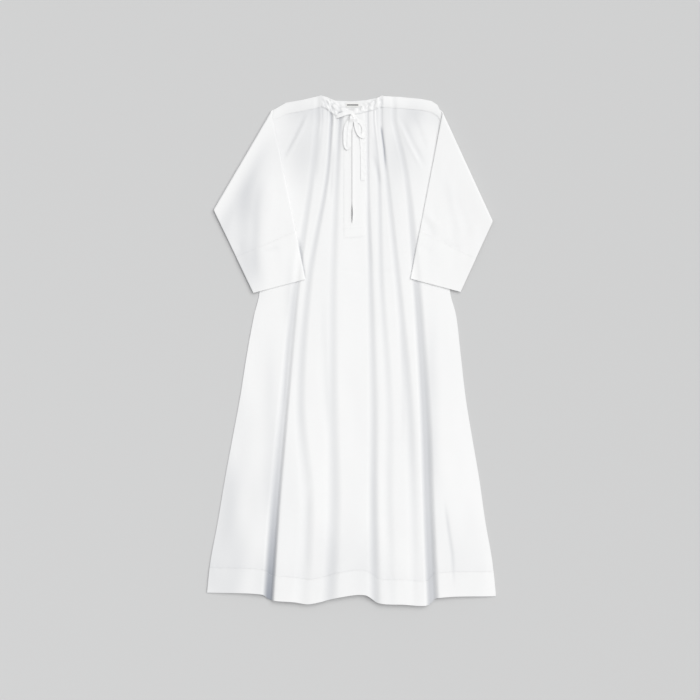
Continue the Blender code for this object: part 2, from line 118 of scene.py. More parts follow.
# %% Lamps and sky
KEY_FROM = (0.52, 0.36, 1.0)
KEY_STRENGTH = 2.16
KEY_SOFTNESS = math.radians(58)
KEY_COLOUR = (1.0, 0.995, 0.985)
FILL_PLACE = (-2.6, -1.4, 3.2)
FILL_POWER = 9.0
FILL_SIZE = 2.4
FILL_COLOUR = (0.98, 0.99, 1.0)
SKY_COLOUR = (0.985, 0.992, 1.0)
SKY_STRENGTH = 0.47


def lamp_from(name, kind, place, power, colour):
    """A lamp at a place, turned towards the middle of the robe."""
    data = bpy.data.lights.new(name, kind)
    data.energy = power
    data.color = colour
    lamp = bpy.data.objects.new(name, data)
    lamp.location = place
    lamp.rotation_euler = (-Vector(place)).to_track_quat("-Z", "Y").to_euler()
    bpy.context.scene.collection.objects.link(lamp)
    return lamp


key = lamp_from("key", "SUN", KEY_FROM, KEY_STRENGTH, KEY_COLOUR)
key.data.angle = KEY_SOFTNESS
fill = lamp_from("fill", "AREA", FILL_PLACE, FILL_POWER, FILL_COLOUR)
fill.data.size = FILL_SIZE
sky = bpy.data.worlds.new("sky")
sky.use_nodes = True
sky.node_tree.nodes["Background"].inputs["Color"].default_value = (*SKY_COLOUR, 1.0)
sky.node_tree.nodes["Background"].inputs["Strength"].default_value = SKY_STRENGTH
bpy.context.scene.world = sky
print("lamps", [lamp.name for lamp in (key, fill)])

# %% [markdown]
# ## The weave
# The cloth is a plain weave of bleached cotton. Its threads are far finer than a mesh could
# show, and an image of cloth would repeat. So two crossed waves on the cloth's own UV map, in
# metres, raise the surface by bump. Slubs, the thicker threads, come from a noise that is
# stretched along one direction. A shader node group holds this once for every cloth.

# %% Node helpers
def new_group(name, inputs, outputs):
    """A shader node group with float or colour sockets, and its two end nodes."""
    group = bpy.data.node_groups.new(name, "ShaderNodeTree")
    for socket, kind, value in inputs:
        made = group.interface.new_socket(socket, in_out="INPUT", socket_type=kind)
        made.default_value = value
    for socket, kind in outputs:
        group.interface.new_socket(socket, in_out="OUTPUT", socket_type=kind)
    start = group.nodes.new("NodeGroupInput")
    end = group.nodes.new("NodeGroupOutput")
    return group, start, end


def math_node(group, operation, first, second):
    """A Math node; each input is a socket or a number."""
    node = group.nodes.new("ShaderNodeMath")
    node.operation = operation
    for socket, value in zip(node.inputs, (first, second)):
        if isinstance(value, (int, float)):
            socket.default_value = value
        else:
            group.links.new(value, socket)
    return node.outputs[0]


def wave_bands(group, coordinates, direction, scale):
    """Round bands, like threads side by side, across the UV map."""
    node = group.nodes.new("ShaderNodeTexWave")
    node.wave_type = "BANDS"
    node.bands_direction = direction
    node.wave_profile = "SIN"
    node.inputs["Distortion"].default_value = 0.6
    node.inputs["Detail"].default_value = 1.0
    group.links.new(coordinates, node.inputs["Vector"])
    group.links.new(scale, node.inputs["Scale"])
    return node.outputs["Fac"]


print("helpers for shader groups are ready")


# %% Weave group
def make_weave_group():
    group, start, end = new_group(
        "cotton_weave",
        [("Thread scale", "NodeSocketFloat", 320.0), ("Slub amount", "NodeSocketFloat", 0.5)],
        [("Height", "NodeSocketFloat"), ("Slub", "NodeSocketFloat")],
    )
    uv = group.nodes.new("ShaderNodeUVMap")
    uv.uv_map = "cloth"
    warp = wave_bands(group, uv.outputs["UV"], "X", start.outputs["Thread scale"])
    weft = wave_bands(group, uv.outputs["UV"], "Y", start.outputs["Thread scale"])
    stretch = group.nodes.new("ShaderNodeMapping")
    stretch.inputs["Scale"].default_value = (900.0, 40.0, 1.0)
    group.links.new(uv.outputs["UV"], stretch.inputs["Vector"])
    slub = group.nodes.new("ShaderNodeTexNoise")
    slub.inputs["Scale"].default_value = 1.0
    slub.inputs["Detail"].default_value = 2.0
    group.links.new(stretch.outputs["Vector"], slub.inputs["Vector"])
    threads = math_node(group, "MAXIMUM", warp, weft)
    thick = math_node(group, "MULTIPLY", slub.outputs["Fac"], start.outputs["Slub amount"])
    group.links.new(math_node(group, "ADD", threads, thick), end.inputs["Height"])
    group.links.new(slub.outputs["Fac"], end.inputs["Slub"])
    return group


weave_group = make_weave_group()
print("weave", [node.bl_label for node in weave_group.nodes])

# %% [markdown]
# ## The tone of thin white cloth, and its painted shade
# Thin white cloth looks grey and a little cool where it lies deep between folds, because less
# light gets in and less comes through from below. Lamps alone show too little of that in such a
# thin layer. So each mesh carries a value called "hollow", worked out where its folds are made,
# and this group turns the colour towards a cool shade by it.


# %% Tone and painted shade group
def make_tone_and_shade_group():
    """White cloth with painted shade in its hollows, and a tone that varies a little from place to
    place.
    """
    white, shade = (0.88, 0.88, 0.88, 1.0), (0.50, 0.52, 0.56, 1.0)
    group, start, end = new_group(
        "cotton_tone_and_shade",
        [
            ("White", "NodeSocketColor", white),
            ("Hollow shade", "NodeSocketColor", shade),
            ("Patch amount", "NodeSocketFloat", 0.03),
        ],
        [("Color", "NodeSocketColor")],
    )
    # painted shade: the mesh's hollow value, with random patches of tone, turns the white towards
    # the shade
    hollow = group.nodes.new("ShaderNodeAttribute")
    hollow.attribute_name = "hollow"
    place = group.nodes.new("ShaderNodeTexCoord")
    patches = group.nodes.new("ShaderNodeTexNoise")
    patches.inputs["Scale"].default_value = 5.0
    patches.inputs["Detail"].default_value = 3.0
    group.links.new(place.outputs["Object"], patches.inputs["Vector"])
    amount = math_node(group, "MULTIPLY", patches.outputs["Fac"], start.outputs["Patch amount"])
    depth = math_node(group, "ADD", hollow.outputs["Fac"], amount)
    mix = group.nodes.new("ShaderNodeMix")
    mix.data_type = "RGBA"
    mix.clamp_factor = True
    group.links.new(depth, mix.inputs["Factor"])
    group.links.new(start.outputs["White"], mix.inputs[6])
    group.links.new(start.outputs["Hollow shade"], mix.inputs[7])
    group.links.new(mix.outputs[2], end.inputs["Color"])
    return group


tone_and_shade_group = make_tone_and_shade_group()
print("tone", [node.bl_label for node in tone_and_shade_group.nodes])

# %% [markdown]
# ## Three kinds of cloth
# The robe's single cloth, its double cloth (hems, cuffs, straps and placket) and its tape are
# the same cotton in three weights. One function makes all three, so they can't drift apart.
# Double cloth is a touch whiter, and the tape's threads are finer and closer.

# %% Cloth materials
SHEEN = 0.12
SHEEN_ROUGHNESS = 0.5
GLOSS = 0.2
ROUGHNESS_SWING = 0.06
WEAVE_DEPTH = 0.00012
WEAVE_STRENGTH = 0.5


def cloth_material(name, white, shade, thread_scale, slub_amount, roughness):
    """A Principled cloth: tone and painted shade group into colour, weave group into roughness and
    bump.
    """
    made = plain_material(name, white, roughness)
    tree = made.node_tree
    shader = tree.nodes["Principled BSDF"]
    shader.inputs["Sheen Weight"].default_value = SHEEN
    shader.inputs["Sheen Roughness"].default_value = SHEEN_ROUGHNESS
    shader.inputs["Specular IOR Level"].default_value = GLOSS
    weave = tree.nodes.new("ShaderNodeGroup")
    weave.node_tree = weave_group
    weave.inputs["Thread scale"].default_value = thread_scale
    weave.inputs["Slub amount"].default_value = slub_amount
    tone = tree.nodes.new("ShaderNodeGroup")
    tone.node_tree = tone_and_shade_group
    tone.inputs["White"].default_value = (*white, 1.0)
    tone.inputs["Hollow shade"].default_value = (*shade, 1.0)
    tree.links.new(tone.outputs["Color"], shader.inputs["Base Color"])
    rougher = tree.nodes.new("ShaderNodeMapRange")
    rougher.inputs["To Min"].default_value = roughness - ROUGHNESS_SWING
    rougher.inputs["To Max"].default_value = roughness + ROUGHNESS_SWING
    tree.links.new(weave.outputs["Slub"], rougher.inputs["Value"])
    tree.links.new(rougher.outputs["Result"], shader.inputs["Roughness"])
    bump = tree.nodes.new("ShaderNodeBump")
    bump.inputs["Distance"].default_value = WEAVE_DEPTH
    bump.inputs["Strength"].default_value = WEAVE_STRENGTH
    tree.links.new(weave.outputs["Height"], bump.inputs["Height"])
    tree.links.new(bump.outputs["Normal"], shader.inputs["Normal"])
    return made


cool_shade = (0.188, 0.212, 0.262)
cotton = cloth_material("robe_cotton", (0.880, 0.881, 0.882), cool_shade, 320.0, 0.5, 0.85)
double_cotton = cloth_material(
    "robe_double_cotton", (0.884, 0.885, 0.885), cool_shade, 320.0, 0.5, 0.85
)
tape_cotton = cloth_material("tape_cotton", (0.90, 0.90, 0.90), cool_shade, 420.0, 0.2, 0.8)
print("materials", [m.name for m in (cotton, double_cotton, tape_cotton)])

# %% [markdown]
# ## Sizes of the robe
# An alb is cut from a few plain shapes, so its sizes are few: the walls of the cloth, the slit
# and its band, the neck, the hem and the cuffs, and how high the front lies off the floor. They
# are the frame's own sizes, kept by name so that every piece below is worked out from them.

# %% Walls, slit, neck and hem
CLOTH = 0.0012
DOUBLE_CLOTH = 0.0020
SEAM_GAP = 0.0003
SEAM_SHOWN = 0.00012  # how far each of two sewn pieces stays back from their seam
SLIT_X = 0.0015
SLIT_END_Y = 0.3670
SLIT_GAP = 0.0010  # between the slit's edges where they nearly touch
SLIT_GAPE = 0.0040  # how much wider it stands open at SLIT_GAPE_Y, just above its lower end
SLIT_GAPE_Y = 0.3960
SLIT_GAPE_REACH = 0.0340
PLACKET_LEFT_X = -0.0226
PLACKET_RIGHT_X = 0.0397
PLACKET_END_Y = 0.3260
NECK_LEFT_X = -0.0870
NECK_RIGHT_X = 0.0930
HEM_DEPTH = 0.0720
CUFF_SHARE = 0.28  # of the sleeve's length
print("hem", HEM_DEPTH, "m deep, slit", round(SLIT_END_Y, 3), "up from the middle")

# %% How high the front lies
EDGE_Z = 0.0021  # at its side edges
HEM_EDGE_Z = 0.0034  # and at the hem, where double cloth lies on double cloth
HEM_RISE_Y = -0.5400
HEM_RISE = 0.0900
SHOULDER_ROLL = 0.0400
BESIDE_NECK = 0.0300
STATIONS = (-0.72, -0.45, -0.15, 0.20, 0.50, 0.665)  # heights up the robe that tables refer to
CREST_Z = (0.0165, 0.0135, 0.0100, 0.0070, 0.0062, 0.0062)
print("front's crest", dict(zip(STATIONS, CREST_Z)))

# %% [markdown]
# ## The outline
# The outline is that of the laid-out cloth: straight side seams that spread towards the hem, a
# shoulder that drops at its tip, a neck that the drawstring has pulled into a shallow curve, and
# a hem that waves where the folds run out. Each line is a short list of corners, because cloth
# edges are nearly straight between them.

# %% Sides and shoulders
# The sides: (y, left x, right x) from the hem up to the underarm.
SIDES = (
    (-0.705, -0.4185, 0.4182),
    (-0.610, -0.4080, 0.4080),
    (-0.495, -0.3866, 0.3880),
    (-0.373, -0.3663, 0.3705),
    (-0.250, -0.3435, 0.3495),
    (-0.140, -0.3230, 0.3315),
    (-0.010, -0.3025, 0.3165),
    (0.100, -0.2822, 0.3036),
    (0.170, -0.2660, 0.2860),
    (0.419, -0.2590, 0.2630),
)
UNDERARM_Y = 0.4190
SHOULDER_TIP_Y = 0.6974
SHOULDER_TIP_X = (-0.2245, 0.2560)
FRONT_TOP = (
    (-0.2245, 0.6974),
    (-0.1894, 0.7175),
    (-0.1401, 0.7262),
    (-0.0870, 0.7388),
    (-0.0705, 0.7300),
    (-0.0560, 0.7170),
    (-0.0386, 0.7059),
    (-0.0183, 0.7015),
    (0.0015, 0.7006),
    (0.0252, 0.7030),
    (0.0484, 0.7117),
    (0.0658, 0.7218),
    (0.0847, 0.7371),
    (0.1412, 0.7342),
    (0.2021, 0.7286),
    (0.2326, 0.7224),
    (0.2500, 0.7110),
    (0.2560, 0.6974),
)
# How deep the strap and casing band is: (x, depth) across the neck.
BAND_DEPTHS = (
    (-0.0870, 0.0330),
    (-0.0400, 0.0300),
    (-0.0180, 0.0180),
    (0.0450, 0.0190),
    (0.0850, 0.0330),
)
BACK_TOP = (
    (-0.2245, 0.6974),
    (-0.1894, 0.7175),
    (-0.1401, 0.7262),
    (-0.0870, 0.7388),
    (-0.0705, 0.7345),
    (-0.0476, 0.7240),
    (0.0015, 0.7221),
    (0.0426, 0.7253),
    (0.0766, 0.7325),
    (0.0847, 0.7371),
    (0.1412, 0.7342),
    (0.2021, 0.7286),
    (0.2326, 0.7224),
    (0.2500, 0.7110),
    (0.2560, 0.6974),
)
FRONT_HEM = (
    (-0.4185, -0.7018),
    (-0.2600, -0.7064),
    (-0.2358, -0.7218),
    (-0.1662, -0.7285),
    (-0.1209, -0.7340),
    (-0.0299, -0.7137),
    (0.0397, -0.7082),
    (0.0774, -0.7308),
    (0.1491, -0.7354),
    (0.2224, -0.7375),
    (0.2485, -0.7169),
    (0.4182, -0.7122),
)
BACK_HEM = ((-0.4185, -0.7018), (0.0, -0.7060), (0.4182, -0.7115))
print("hem width", round(FRONT_HEM[-1][0] - FRONT_HEM[0][0], 3))

# %% [markdown]
# ## The folds
# A cloth simulation would drop folds anywhere. These have to lie where the robe was smoothed
# out, so they are listed one by one. Each one is a line down the front with a width and a depth
# that change on the way from the hem to the neck. The numbers stand in a table so that a fold
# can be moved or deepened in one place, and every piece that lies on the front follows it.


# %% Seven folds
class Fold(NamedTuple):
    """A fold down the front: values at each of STATIONS."""

    name: str
    x: tuple
    half_width: tuple
    share: tuple  # of the front's height, taken away in the middle of the fold
    steep: tuple  # its left and right walls: 1 is a round trough, more is a steeper wall
    # grey below is painted shade that darkens the cloth's colour in the middle of the fold
    grey: tuple  # how much darker the cloth looks in the middle of the fold


FOLDS = (
    Fold(
        "left_pleat",
        x=(-0.2416, -0.2225, -0.1955, -0.1598, -0.1157, -0.0990),
        half_width=(0.020, 0.019, 0.018, 0.015, 0.013, 0.012),
        share=(0.95, 0.92, 0.85, 0.70, 0.40, 0.50),
        steep=(1.1, 1.6),
        grey=(0.34, 0.15, 0.07, 0.06, 0.05, 0.03),
    ),
    Fold(
        "left_fold",
        x=(-0.1459, -0.1285, -0.1482, -0.1238, -0.0713, -0.0597),
        half_width=(0.030, 0.026, 0.020, 0.015, 0.009, 0.007),
        share=(0.22, 0.24, 0.30, 0.42, 0.50, 0.60),
        steep=(1.0, 1.0),
        grey=(0.01, 0.02, 0.06, 0.06, 0.08, 0.09),
    ),
    Fold(
        "left_centre_fold",
        x=(-0.0647, -0.0516, -0.0554, -0.0537, -0.0423, -0.0340),
        half_width=(0.029, 0.026, 0.022, 0.017, 0.012, 0.008),
        share=(0.28, 0.28, 0.28, 0.32, 0.34, 0.40),
        steep=(1.0, 1.1),
        grey=(0.06, 0.06, 0.05, 0.04, 0.05, 0.07),
    ),
    Fold(
        "right_centre_fold",
        x=(0.0670, 0.0629, 0.0629, 0.0550, 0.0480, 0.0475),
        half_width=(0.022, 0.019, 0.018, 0.013, 0.007, 0.006),
        share=(0.36, 0.36, 0.36, 0.38, 0.36, 0.35),
        steep=(1.1, 1.0),
        grey=(0.08, 0.09, 0.06, 0.07, 0.06, 0.05),
    ),
    Fold(
        "right_faint_fold",
        x=(0.1151, 0.1064, 0.1076, 0.0861, 0.0789, 0.0640),
        half_width=(0.020, 0.020, 0.018, 0.013, 0.009, 0.006),
        share=(0.08, 0.12, 0.18, 0.26, 0.32, 0.30),
        steep=(1.0, 1.0),
        grey=(0.01, 0.02, 0.03, 0.05, 0.06, 0.03),
    ),
    Fold(
        "right_fold",
        x=(0.1818, 0.1778, 0.1659, 0.1343, 0.1018, 0.0847),
        half_width=(0.022, 0.020, 0.019, 0.014, 0.011, 0.008),
        share=(0.10, 0.20, 0.32, 0.48, 0.62, 0.65),
        steep=(1.1, 1.1),
        grey=(0.01, 0.03, 0.06, 0.06, 0.05, 0.04),
    ),
    Fold(
        "right_pleat",
        x=(0.2349, 0.2230, 0.2123, 0.1885, 0.1595, 0.1227),
        half_width=(0.022, 0.021, 0.021, 0.017, 0.013, 0.012),
        share=(0.95, 0.92, 0.85, 0.75, 0.45, 0.50),
        steep=(1.6, 1.1),
        grey=(0.16, 0.12, 0.11, 0.09, 0.05, 0.03),
    ),
)
FOLDS_LEFT_OF_SLIT = 3
print("folds", [fold.name for fold in FOLDS])


# %% [markdown]
# ## Lines and waves
# A height has to be worked out for every point of the front, and a fine mesh has tens of
# thousands of them. Looping over points is slow, so these helpers work on whole arrays at once:
# a smooth line through a few stations, the body's sides, and slow uneven waves.

# %% Smooth lines between stations
def smooth_line(stations, values, at):
    """Smooth values between rising stations, for an array of places; level past the ends."""
    stations, values = np.asarray(stations, float), np.asarray(values, float)
    at = np.clip(at, stations[0], stations[-1])
    i = np.clip(np.searchsorted(stations, at, side="right") - 1, 0, len(stations) - 2)
    below = np.maximum(np.arange(len(stations)) - 1, 0)
    above = np.minimum(np.arange(len(stations)) + 1, len(stations) - 1)
    slopes = (values[above] - values[below]) / (stations[above] - stations[below])
    span = stations[i + 1] - stations[i]
    t = (at - stations[i]) / span
    return (
        values[i] * (1 + 2 * t) * (1 - t) ** 2
        + slopes[i] * span * t * (1 - t) ** 2
        + values[i + 1] * t * t * (3 - 2 * t)
        + slopes[i + 1] * span * t * t * (t - 1)
    )


def edge_line(points, x):
    """Y of a line of (x, y) points, for an array of x."""
    xs, ys = zip(*points)
    return np.interp(x, xs, ys)


def ease(value):
    """0 below 0 and 1 above 1, with a smooth step between."""
    t = np.clip(value, 0.0, 1.0)
    return t * t * (3 - 2 * t)


def sides(y):
    """X of the body's left and right edges for an array of y."""
    heights, left, right = (np.array(column) for column in zip(*SIDES))
    up = np.clip((y - UNDERARM_Y) / (SHOULDER_TIP_Y - UNDERARM_Y), 0, 1)
    edges = [smooth_line(heights, values, y) for values in (left, right)]
    return [edge + (tip - edge) * up for edge, tip in zip(edges, SHOULDER_TIP_X)]


UNEVEN_WAVES = 7


def unevenness(x, y, size, seed):
    """Slow waves of a few directions, from -1 to 1, the same on every run."""
    random = np.random.default_rng(seed)
    total = np.zeros(np.broadcast(x, y).shape)
    for _ in range(UNEVEN_WAVES):
        turn = random.uniform(0, math.tau)
        length = size * random.uniform(0.6, 1.6)
        phase = random.uniform(0, math.tau)
        along = x * math.cos(turn) + y * math.sin(turn) * 0.45
        total += np.sin(math.tau * along / length + phase)
    return total / 4.0


print("sides at the middle", [round(float(edge), 3) for edge in sides(np.array(0.0))])


# %% [markdown]
# ## Creases
# Besides the folds, cloth has small marks: the drag from the neck towards the armholes, short
# gathers, dents beside a cuff, and the press marks of a garment that was kept folded. Each is
# a soft trough or ridge along a few points. They stay shallow, and some are shaded as well,
# because a shallow trough hardly shows in soft light.


# %% Creases that aren't folds
class Crease(NamedTuple):
    """A soft trough (or a ridge, where the depth is negative) along a few points."""

    points: tuple
    width: float
    depth: float
    grey: float = 0.0  # how much darker the cloth looks in it, besides the light's own shading


CREASES = (
    # the narrow crease that comes out of the neck beside the right strap, darkened by painted shade
    Crease(
        ((0.0855, 0.6550), (0.0885, 0.6300), (0.0948, 0.5841), (0.1006, 0.5087)),
        0.0022,
        0.0022,
        0.22,
    ),
    # drag from the neck towards each armhole: a ridge with a dip beside it
    Crease(((-0.117, 0.700), (-0.155, 0.620), (-0.198, 0.540)), 0.0060, -0.0022),
    Crease(((-0.127, 0.695), (-0.166, 0.616), (-0.203, 0.545)), 0.0070, 0.0018, 0.012),
    Crease(((0.130, 0.680), (0.165, 0.600), (0.212, 0.510)), 0.0060, -0.0012),
    Crease(((0.140, 0.680), (0.174, 0.606), (0.216, 0.525)), 0.0080, 0.0014, 0.008),
    Crease(((0.176, 0.690), (0.196, 0.640), (0.218, 0.570)), 0.0080, 0.0007),
    # short gathers that fade below the neck
    Crease(((0.057, 0.581), (0.075, 0.520), (0.083, 0.470)), 0.006, 0.0014, 0.02),
    Crease(((0.040, 0.460), (0.049, 0.334), (0.057, 0.210)), 0.008, 0.0008, 0.01),
    Crease(((-0.090, 0.640), (-0.100, 0.560), (-0.105, 0.480)), 0.006, 0.0009, 0.015),
    Crease(((-0.052, 0.610), (-0.057, 0.520), (-0.062, 0.420)), 0.005, 0.0009, 0.015),
    Crease(((0.060, 0.640), (0.066, 0.560), (0.070, 0.500)), 0.005, 0.0009, 0.015),
    Crease(((0.112, 0.640), (0.128, 0.560), (0.140, 0.470)), 0.006, 0.0009, 0.012),
    # where the left cuff's inner edge presses the front down, with painted shade beside the cuff
    Crease(
        ((-0.156, 0.340), (-0.146, 0.280), (-0.137, 0.225), (-0.134, 0.200)), 0.004, 0.0012, 0.10
    ),
    # folds that run beside the main ones in the skirt
    Crease(((-0.083, 0.175), (-0.078, -0.050), (-0.070, -0.265)), 0.008, 0.0012, 0.01),
    Crease(((-0.180, 0.120), (-0.192, -0.060), (-0.200, -0.220)), 0.006, 0.0010, 0.02),
    Crease(((-0.125, -0.395), (-0.128, -0.500), (-0.131, -0.690)), 0.012, 0.0012, 0.01),
    Crease(
        ((0.268, -0.420), (0.281, -0.520), (0.292, -0.590), (0.298, -0.700)), 0.005, 0.0010, 0.05
    ),
    Crease(((0.098, -0.300), (0.106, -0.450), (0.110, -0.620)), 0.014, 0.0008),
    Crease(((0.140, 0.100), (0.148, -0.100), (0.150, -0.300)), 0.007, 0.0009, 0.015),
    # press marks of a garment that was kept folded
    Crease(((0.060, 0.226), (0.110, 0.230), (0.165, 0.224)), 0.005, 0.0005),
    Crease(((-0.050, 0.236), (0.000, 0.232), (0.060, 0.226)), 0.005, 0.0004),
    Crease(((0.060, -0.262), (0.120, -0.258), (0.185, -0.263)), 0.005, 0.0003),
    Crease(((-0.300, 0.110), (-0.285, 0.060), (-0.290, 0.020)), 0.012, 0.0006),
)


def distance_to_line(points, x, y):
    """How far each place lies from a bent line, and how far along it, from 0 to 1."""
    best = np.full(x.shape, 1e9)
    along = np.zeros(x.shape)
    count = len(points) - 1
    for k, ((x0, y0), (x1, y1)) in enumerate(zip(points, points[1:])):
        run = (x1 - x0) ** 2 + (y1 - y0) ** 2
        t = np.clip(((x - x0) * (x1 - x0) + (y - y0) * (y1 - y0)) / run, 0, 1)
        off = np.hypot(x - x0 - t * (x1 - x0), y - y0 - t * (y1 - y0))
        nearer = off < best
        best = np.where(nearer, off, best)
        along = np.where(nearer, (k + t) / count, along)
    return best, along


CREASE_FADE = 0.3  # the share of a crease's length over which each end fades


def crease_cuts(creases, x, y):
    """Depth and greyness of the creases at each place; they fade in and out at their ends."""
    depth, grey = np.zeros(x.shape), np.zeros(x.shape)
    for crease in creases:
        off, along = distance_to_line(crease.points, x, y)
        ends = ease(along / CREASE_FADE) * ease((1 - along) / CREASE_FADE)
        cut = ends * np.exp(-((off / crease.width) ** 2))
        depth += crease.depth * cut
        grey = np.maximum(grey, crease.grey * cut)
    return depth, grey


print("creases on the front", len(CREASES))


# %% [markdown]
# ## Painted shade over wide areas
# Cloth is never evenly bright when it lies flat. Where a wide stretch sinks a little or faces
# away from the lamp, it looks faintly grey. Such a slope is too slight to model, so a short list
# of wide soft areas carries it as painted shade.


# %% Areas of painted shade
EYE_CURVE = 2.2
SHADE_SPAN = 1.36
DARKEST = 0.6


def shade_for(grey):
    """How much of the hollow shade it takes for cloth to look that much darker to the eye."""
    return (1 - (1 - np.clip(grey, 0, DARKEST)) ** EYE_CURVE) * SHADE_SPAN


class ShadedArea(NamedTuple):
    """A wide soft area of painted shade, where the cloth lies a little lower or faces away from the
    lamp.
    """

    place: tuple
    reach: tuple
    grey: float


SHADED_AREAS = (
    ShadedArea((-0.350, -0.470), (0.085, 0.260), 0.055),
    ShadedArea((-0.350, -0.660), (0.100, 0.080), 0.042),
    ShadedArea((-0.150, 0.600), (0.085, 0.120), 0.036),
    ShadedArea((0.125, 0.590), (0.080, 0.120), 0.036),
    ShadedArea((-0.350, 0.400), (0.070, 0.190), 0.062),
    ShadedArea((-0.285, 0.580), (0.040, 0.120), 0.038),
    ShadedArea((-0.290, 0.245), (0.038, 0.075), 0.038),
    ShadedArea((0.200, 0.690), (0.120, 0.045), 0.050),
    ShadedArea((-0.150, 0.705), (0.110, 0.040), 0.045),
    ShadedArea((0.010, -0.640), (0.160, 0.110), 0.025),
    ShadedArea((0.290, -0.600), (0.110, 0.120), 0.012),
    # painted shade on the gentle outer sides of the two pleats
    ShadedArea((0.232, -0.180), (0.020, 0.300), 0.032),
    ShadedArea((-0.236, -0.280), (0.020, 0.250), 0.030),
    ShadedArea((-0.176, 0.130), (0.018, 0.170), 0.025),
)


def painted_area_shade(x, y):
    """Painted shade of the wide areas, a little blotchy, and a faint uneven grey, before any fold
    counts.
    """
    total = np.zeros(np.broadcast(x, y).shape)
    for area in SHADED_AREAS:
        off = ((x - area.place[0]) / area.reach[0]) ** 2
        off = off + ((y - area.place[1]) / area.reach[1]) ** 2
        total += area.grey * np.exp(-off)
    blotchy = 1 + 0.5 * unevenness(x, y, 0.11, 31)
    return np.maximum(total * blotchy + 0.008 * unevenness(x, y, 0.20, 32), 0)


print("greyer areas", len(SHADED_AREAS))

# %% [markdown]
# ## The form of the front
# The front is a low arch from side to side, because the cloth under it and its own spring hold
# it up. The folds are cut into the arch, each as a share of its height, so a deep fold reaches
# the back without going through it. Then come the creases and a slight unevenness everywhere.

# %% Height of the front
FULL_SHARE = 0.95  # the share at which a fold's walls are as steep as its table says
CREASES_FROM_EDGE = 0.030  # creases and waves die away within this distance of a side seam
CREASE_SHADE = 20.0  # hollow shade for each metre of a crease's depth
SWELL_SIZE = 0.16
SWELL_SHARE = 0.06  # of the crest's height
RUMPLE_SIZE = 0.045
RUMPLE_HEIGHT = 0.00022


def fold_depths(x, y):
    """For each fold: the fold, how deep its middle is, and its cut at each place, 0 to 1."""
    found = []
    for fold in FOLDS:
        reach = smooth_line(STATIONS, fold.half_width, y)
        off = (x - smooth_line(STATIONS, fold.x, y)) / reach
        share = smooth_line(STATIONS, fold.share, y)
        steepest = np.where(off < 0, *fold.steep)
        steep = 1 + (steepest - 1) * np.minimum(share / FULL_SHARE, 1) ** 2
        found.append((fold, share, ease((1 - np.abs(off)) * steep)))
    return found


def front_lift(x, y):
    """The lowest that the front lies at each place, and how far its arch rises above that."""
    left, right = sides(y)
    across = np.clip(np.abs((2 * x - left - right) / (right - left)), 0, 1)
    lowest = EDGE_Z + (HEM_EDGE_Z - EDGE_Z) * np.clip((HEM_RISE_Y - y) / HEM_RISE, 0, 1)
    lift = (smooth_line(STATIONS, CREST_Z, y) - lowest) * (1 - across**3)
    from_neck = np.clip(np.maximum(NECK_LEFT_X - x, x - NECK_RIGHT_X) / BESIDE_NECK, 0, 1)
    below_edge = np.clip((edge_line(FRONT_TOP, x) - y) / SHOULDER_ROLL, 0, 1)
    return lowest, lift * (1 - from_neck * (1 - below_edge) ** 2)


def front_form(x, y):
    """(x, y, z, hollow) of the front's cloth for places given as laid out flat."""
    lowest, lift = front_lift(x, y)
    left, right = sides(y)
    inside = ease(np.minimum(x - left, right - x) / CREASES_FROM_EDGE)
    grey = np.zeros(x.shape)
    kept = np.ones(x.shape)
    for fold, share, cut in fold_depths(x, y):
        kept *= 1 - share * cut
        grey = np.maximum(grey, smooth_line(STATIONS, fold.grey, y) * cut)
    z = lowest + lift * kept
    small, small_grey = crease_cuts(CREASES, x, y)
    z -= small * inside
    # painted shade of the folds, the creases and the wide areas; in a fold, its own shade takes the
    # place of the areas'
    grey = grey + small_grey + painted_area_shade(x, y) * (1 - np.clip(grey * 4, 0, 1))
    hollow = shade_for(grey) + np.clip(small, 0, 1) * CREASE_SHADE
    crest = smooth_line(STATIONS, CREST_Z, y)
    z += unevenness(x, y, SWELL_SIZE, 3) * SWELL_SHARE * crest * inside * kept
    z += unevenness(x, y, RUMPLE_SIZE, 4) * RUMPLE_HEIGHT * inside * kept
    return x, y, np.maximum(z, lowest), hollow


print("front over the middle", round(float(front_form(np.array([0.1]), np.array([0.0]))[2][0]), 4))

# %% [markdown]
# ## Columns and rows of the front
# The mesh's columns run down the robe the way its threads do, spreading from the neck to the
# hem, and they follow the folds, so that a fold's edges never cut across the mesh. Rows lie
# closer together at the neck, where the gathers are fine.

# %% The front's mesh, laid out flat
COLUMN_STEP = 0.0044
ROW_STEP_NECK = 0.0030
ROW_STEP_SKIRT = 0.0075
FINE_ROWS_REACH = 0.150
BAND_ROWS = 9
NECK_Y = SHOULDER_TIP_Y
HEM_Y = SIDES[0][0]


def key_lines(y):
    """X of the lines that the columns follow, for an array of y: edges, folds, placket, slit."""
    left, right = sides(y)
    lines = [left]
    for number, fold in enumerate(FOLDS):
        if number == FOLDS_LEFT_OF_SLIT:
            lines += [np.full(y.shape, x) for x in (PLACKET_LEFT_X, SLIT_X, PLACKET_RIGHT_X)]
        middle = smooth_line(STATIONS, fold.x, y)
        reach = smooth_line(STATIONS, fold.half_width, y)
        lines += [middle - reach, middle, middle + reach]
    lines.append(right)
    return lines


def column_keys():
    """Each column as (number of the key line on its left, share of the way to the next)."""
    at_hem = [float(line[0]) for line in key_lines(np.array([HEM_Y]))]
    # The first and the last fold are the two pleats, whose walls need narrower columns.
    steep_walls = {1 + 3 * k + (3 if k >= FOLDS_LEFT_OF_SLIT else 0) for k in (0, len(FOLDS) - 1)}
    steep_walls |= {line + 1 for line in steep_walls}
    keys = []
    for number, (start, end) in enumerate(zip(at_hem, at_hem[1:])):
        step = COLUMN_STEP / 2 if number in steep_walls else COLUMN_STEP
        parts = max(2, round((end - start) / step))
        keys += [(number, k / parts) for k in range(parts)]
    return keys + [(len(at_hem) - 2, 1.0)]


COLUMNS = column_keys()


def column_x(column, y):
    """Where a column of the mesh lies across, at heights y."""
    number, share = COLUMNS[column]
    lines = key_lines(y)
    return lines[number] * (1 - share) + lines[number + 1] * share


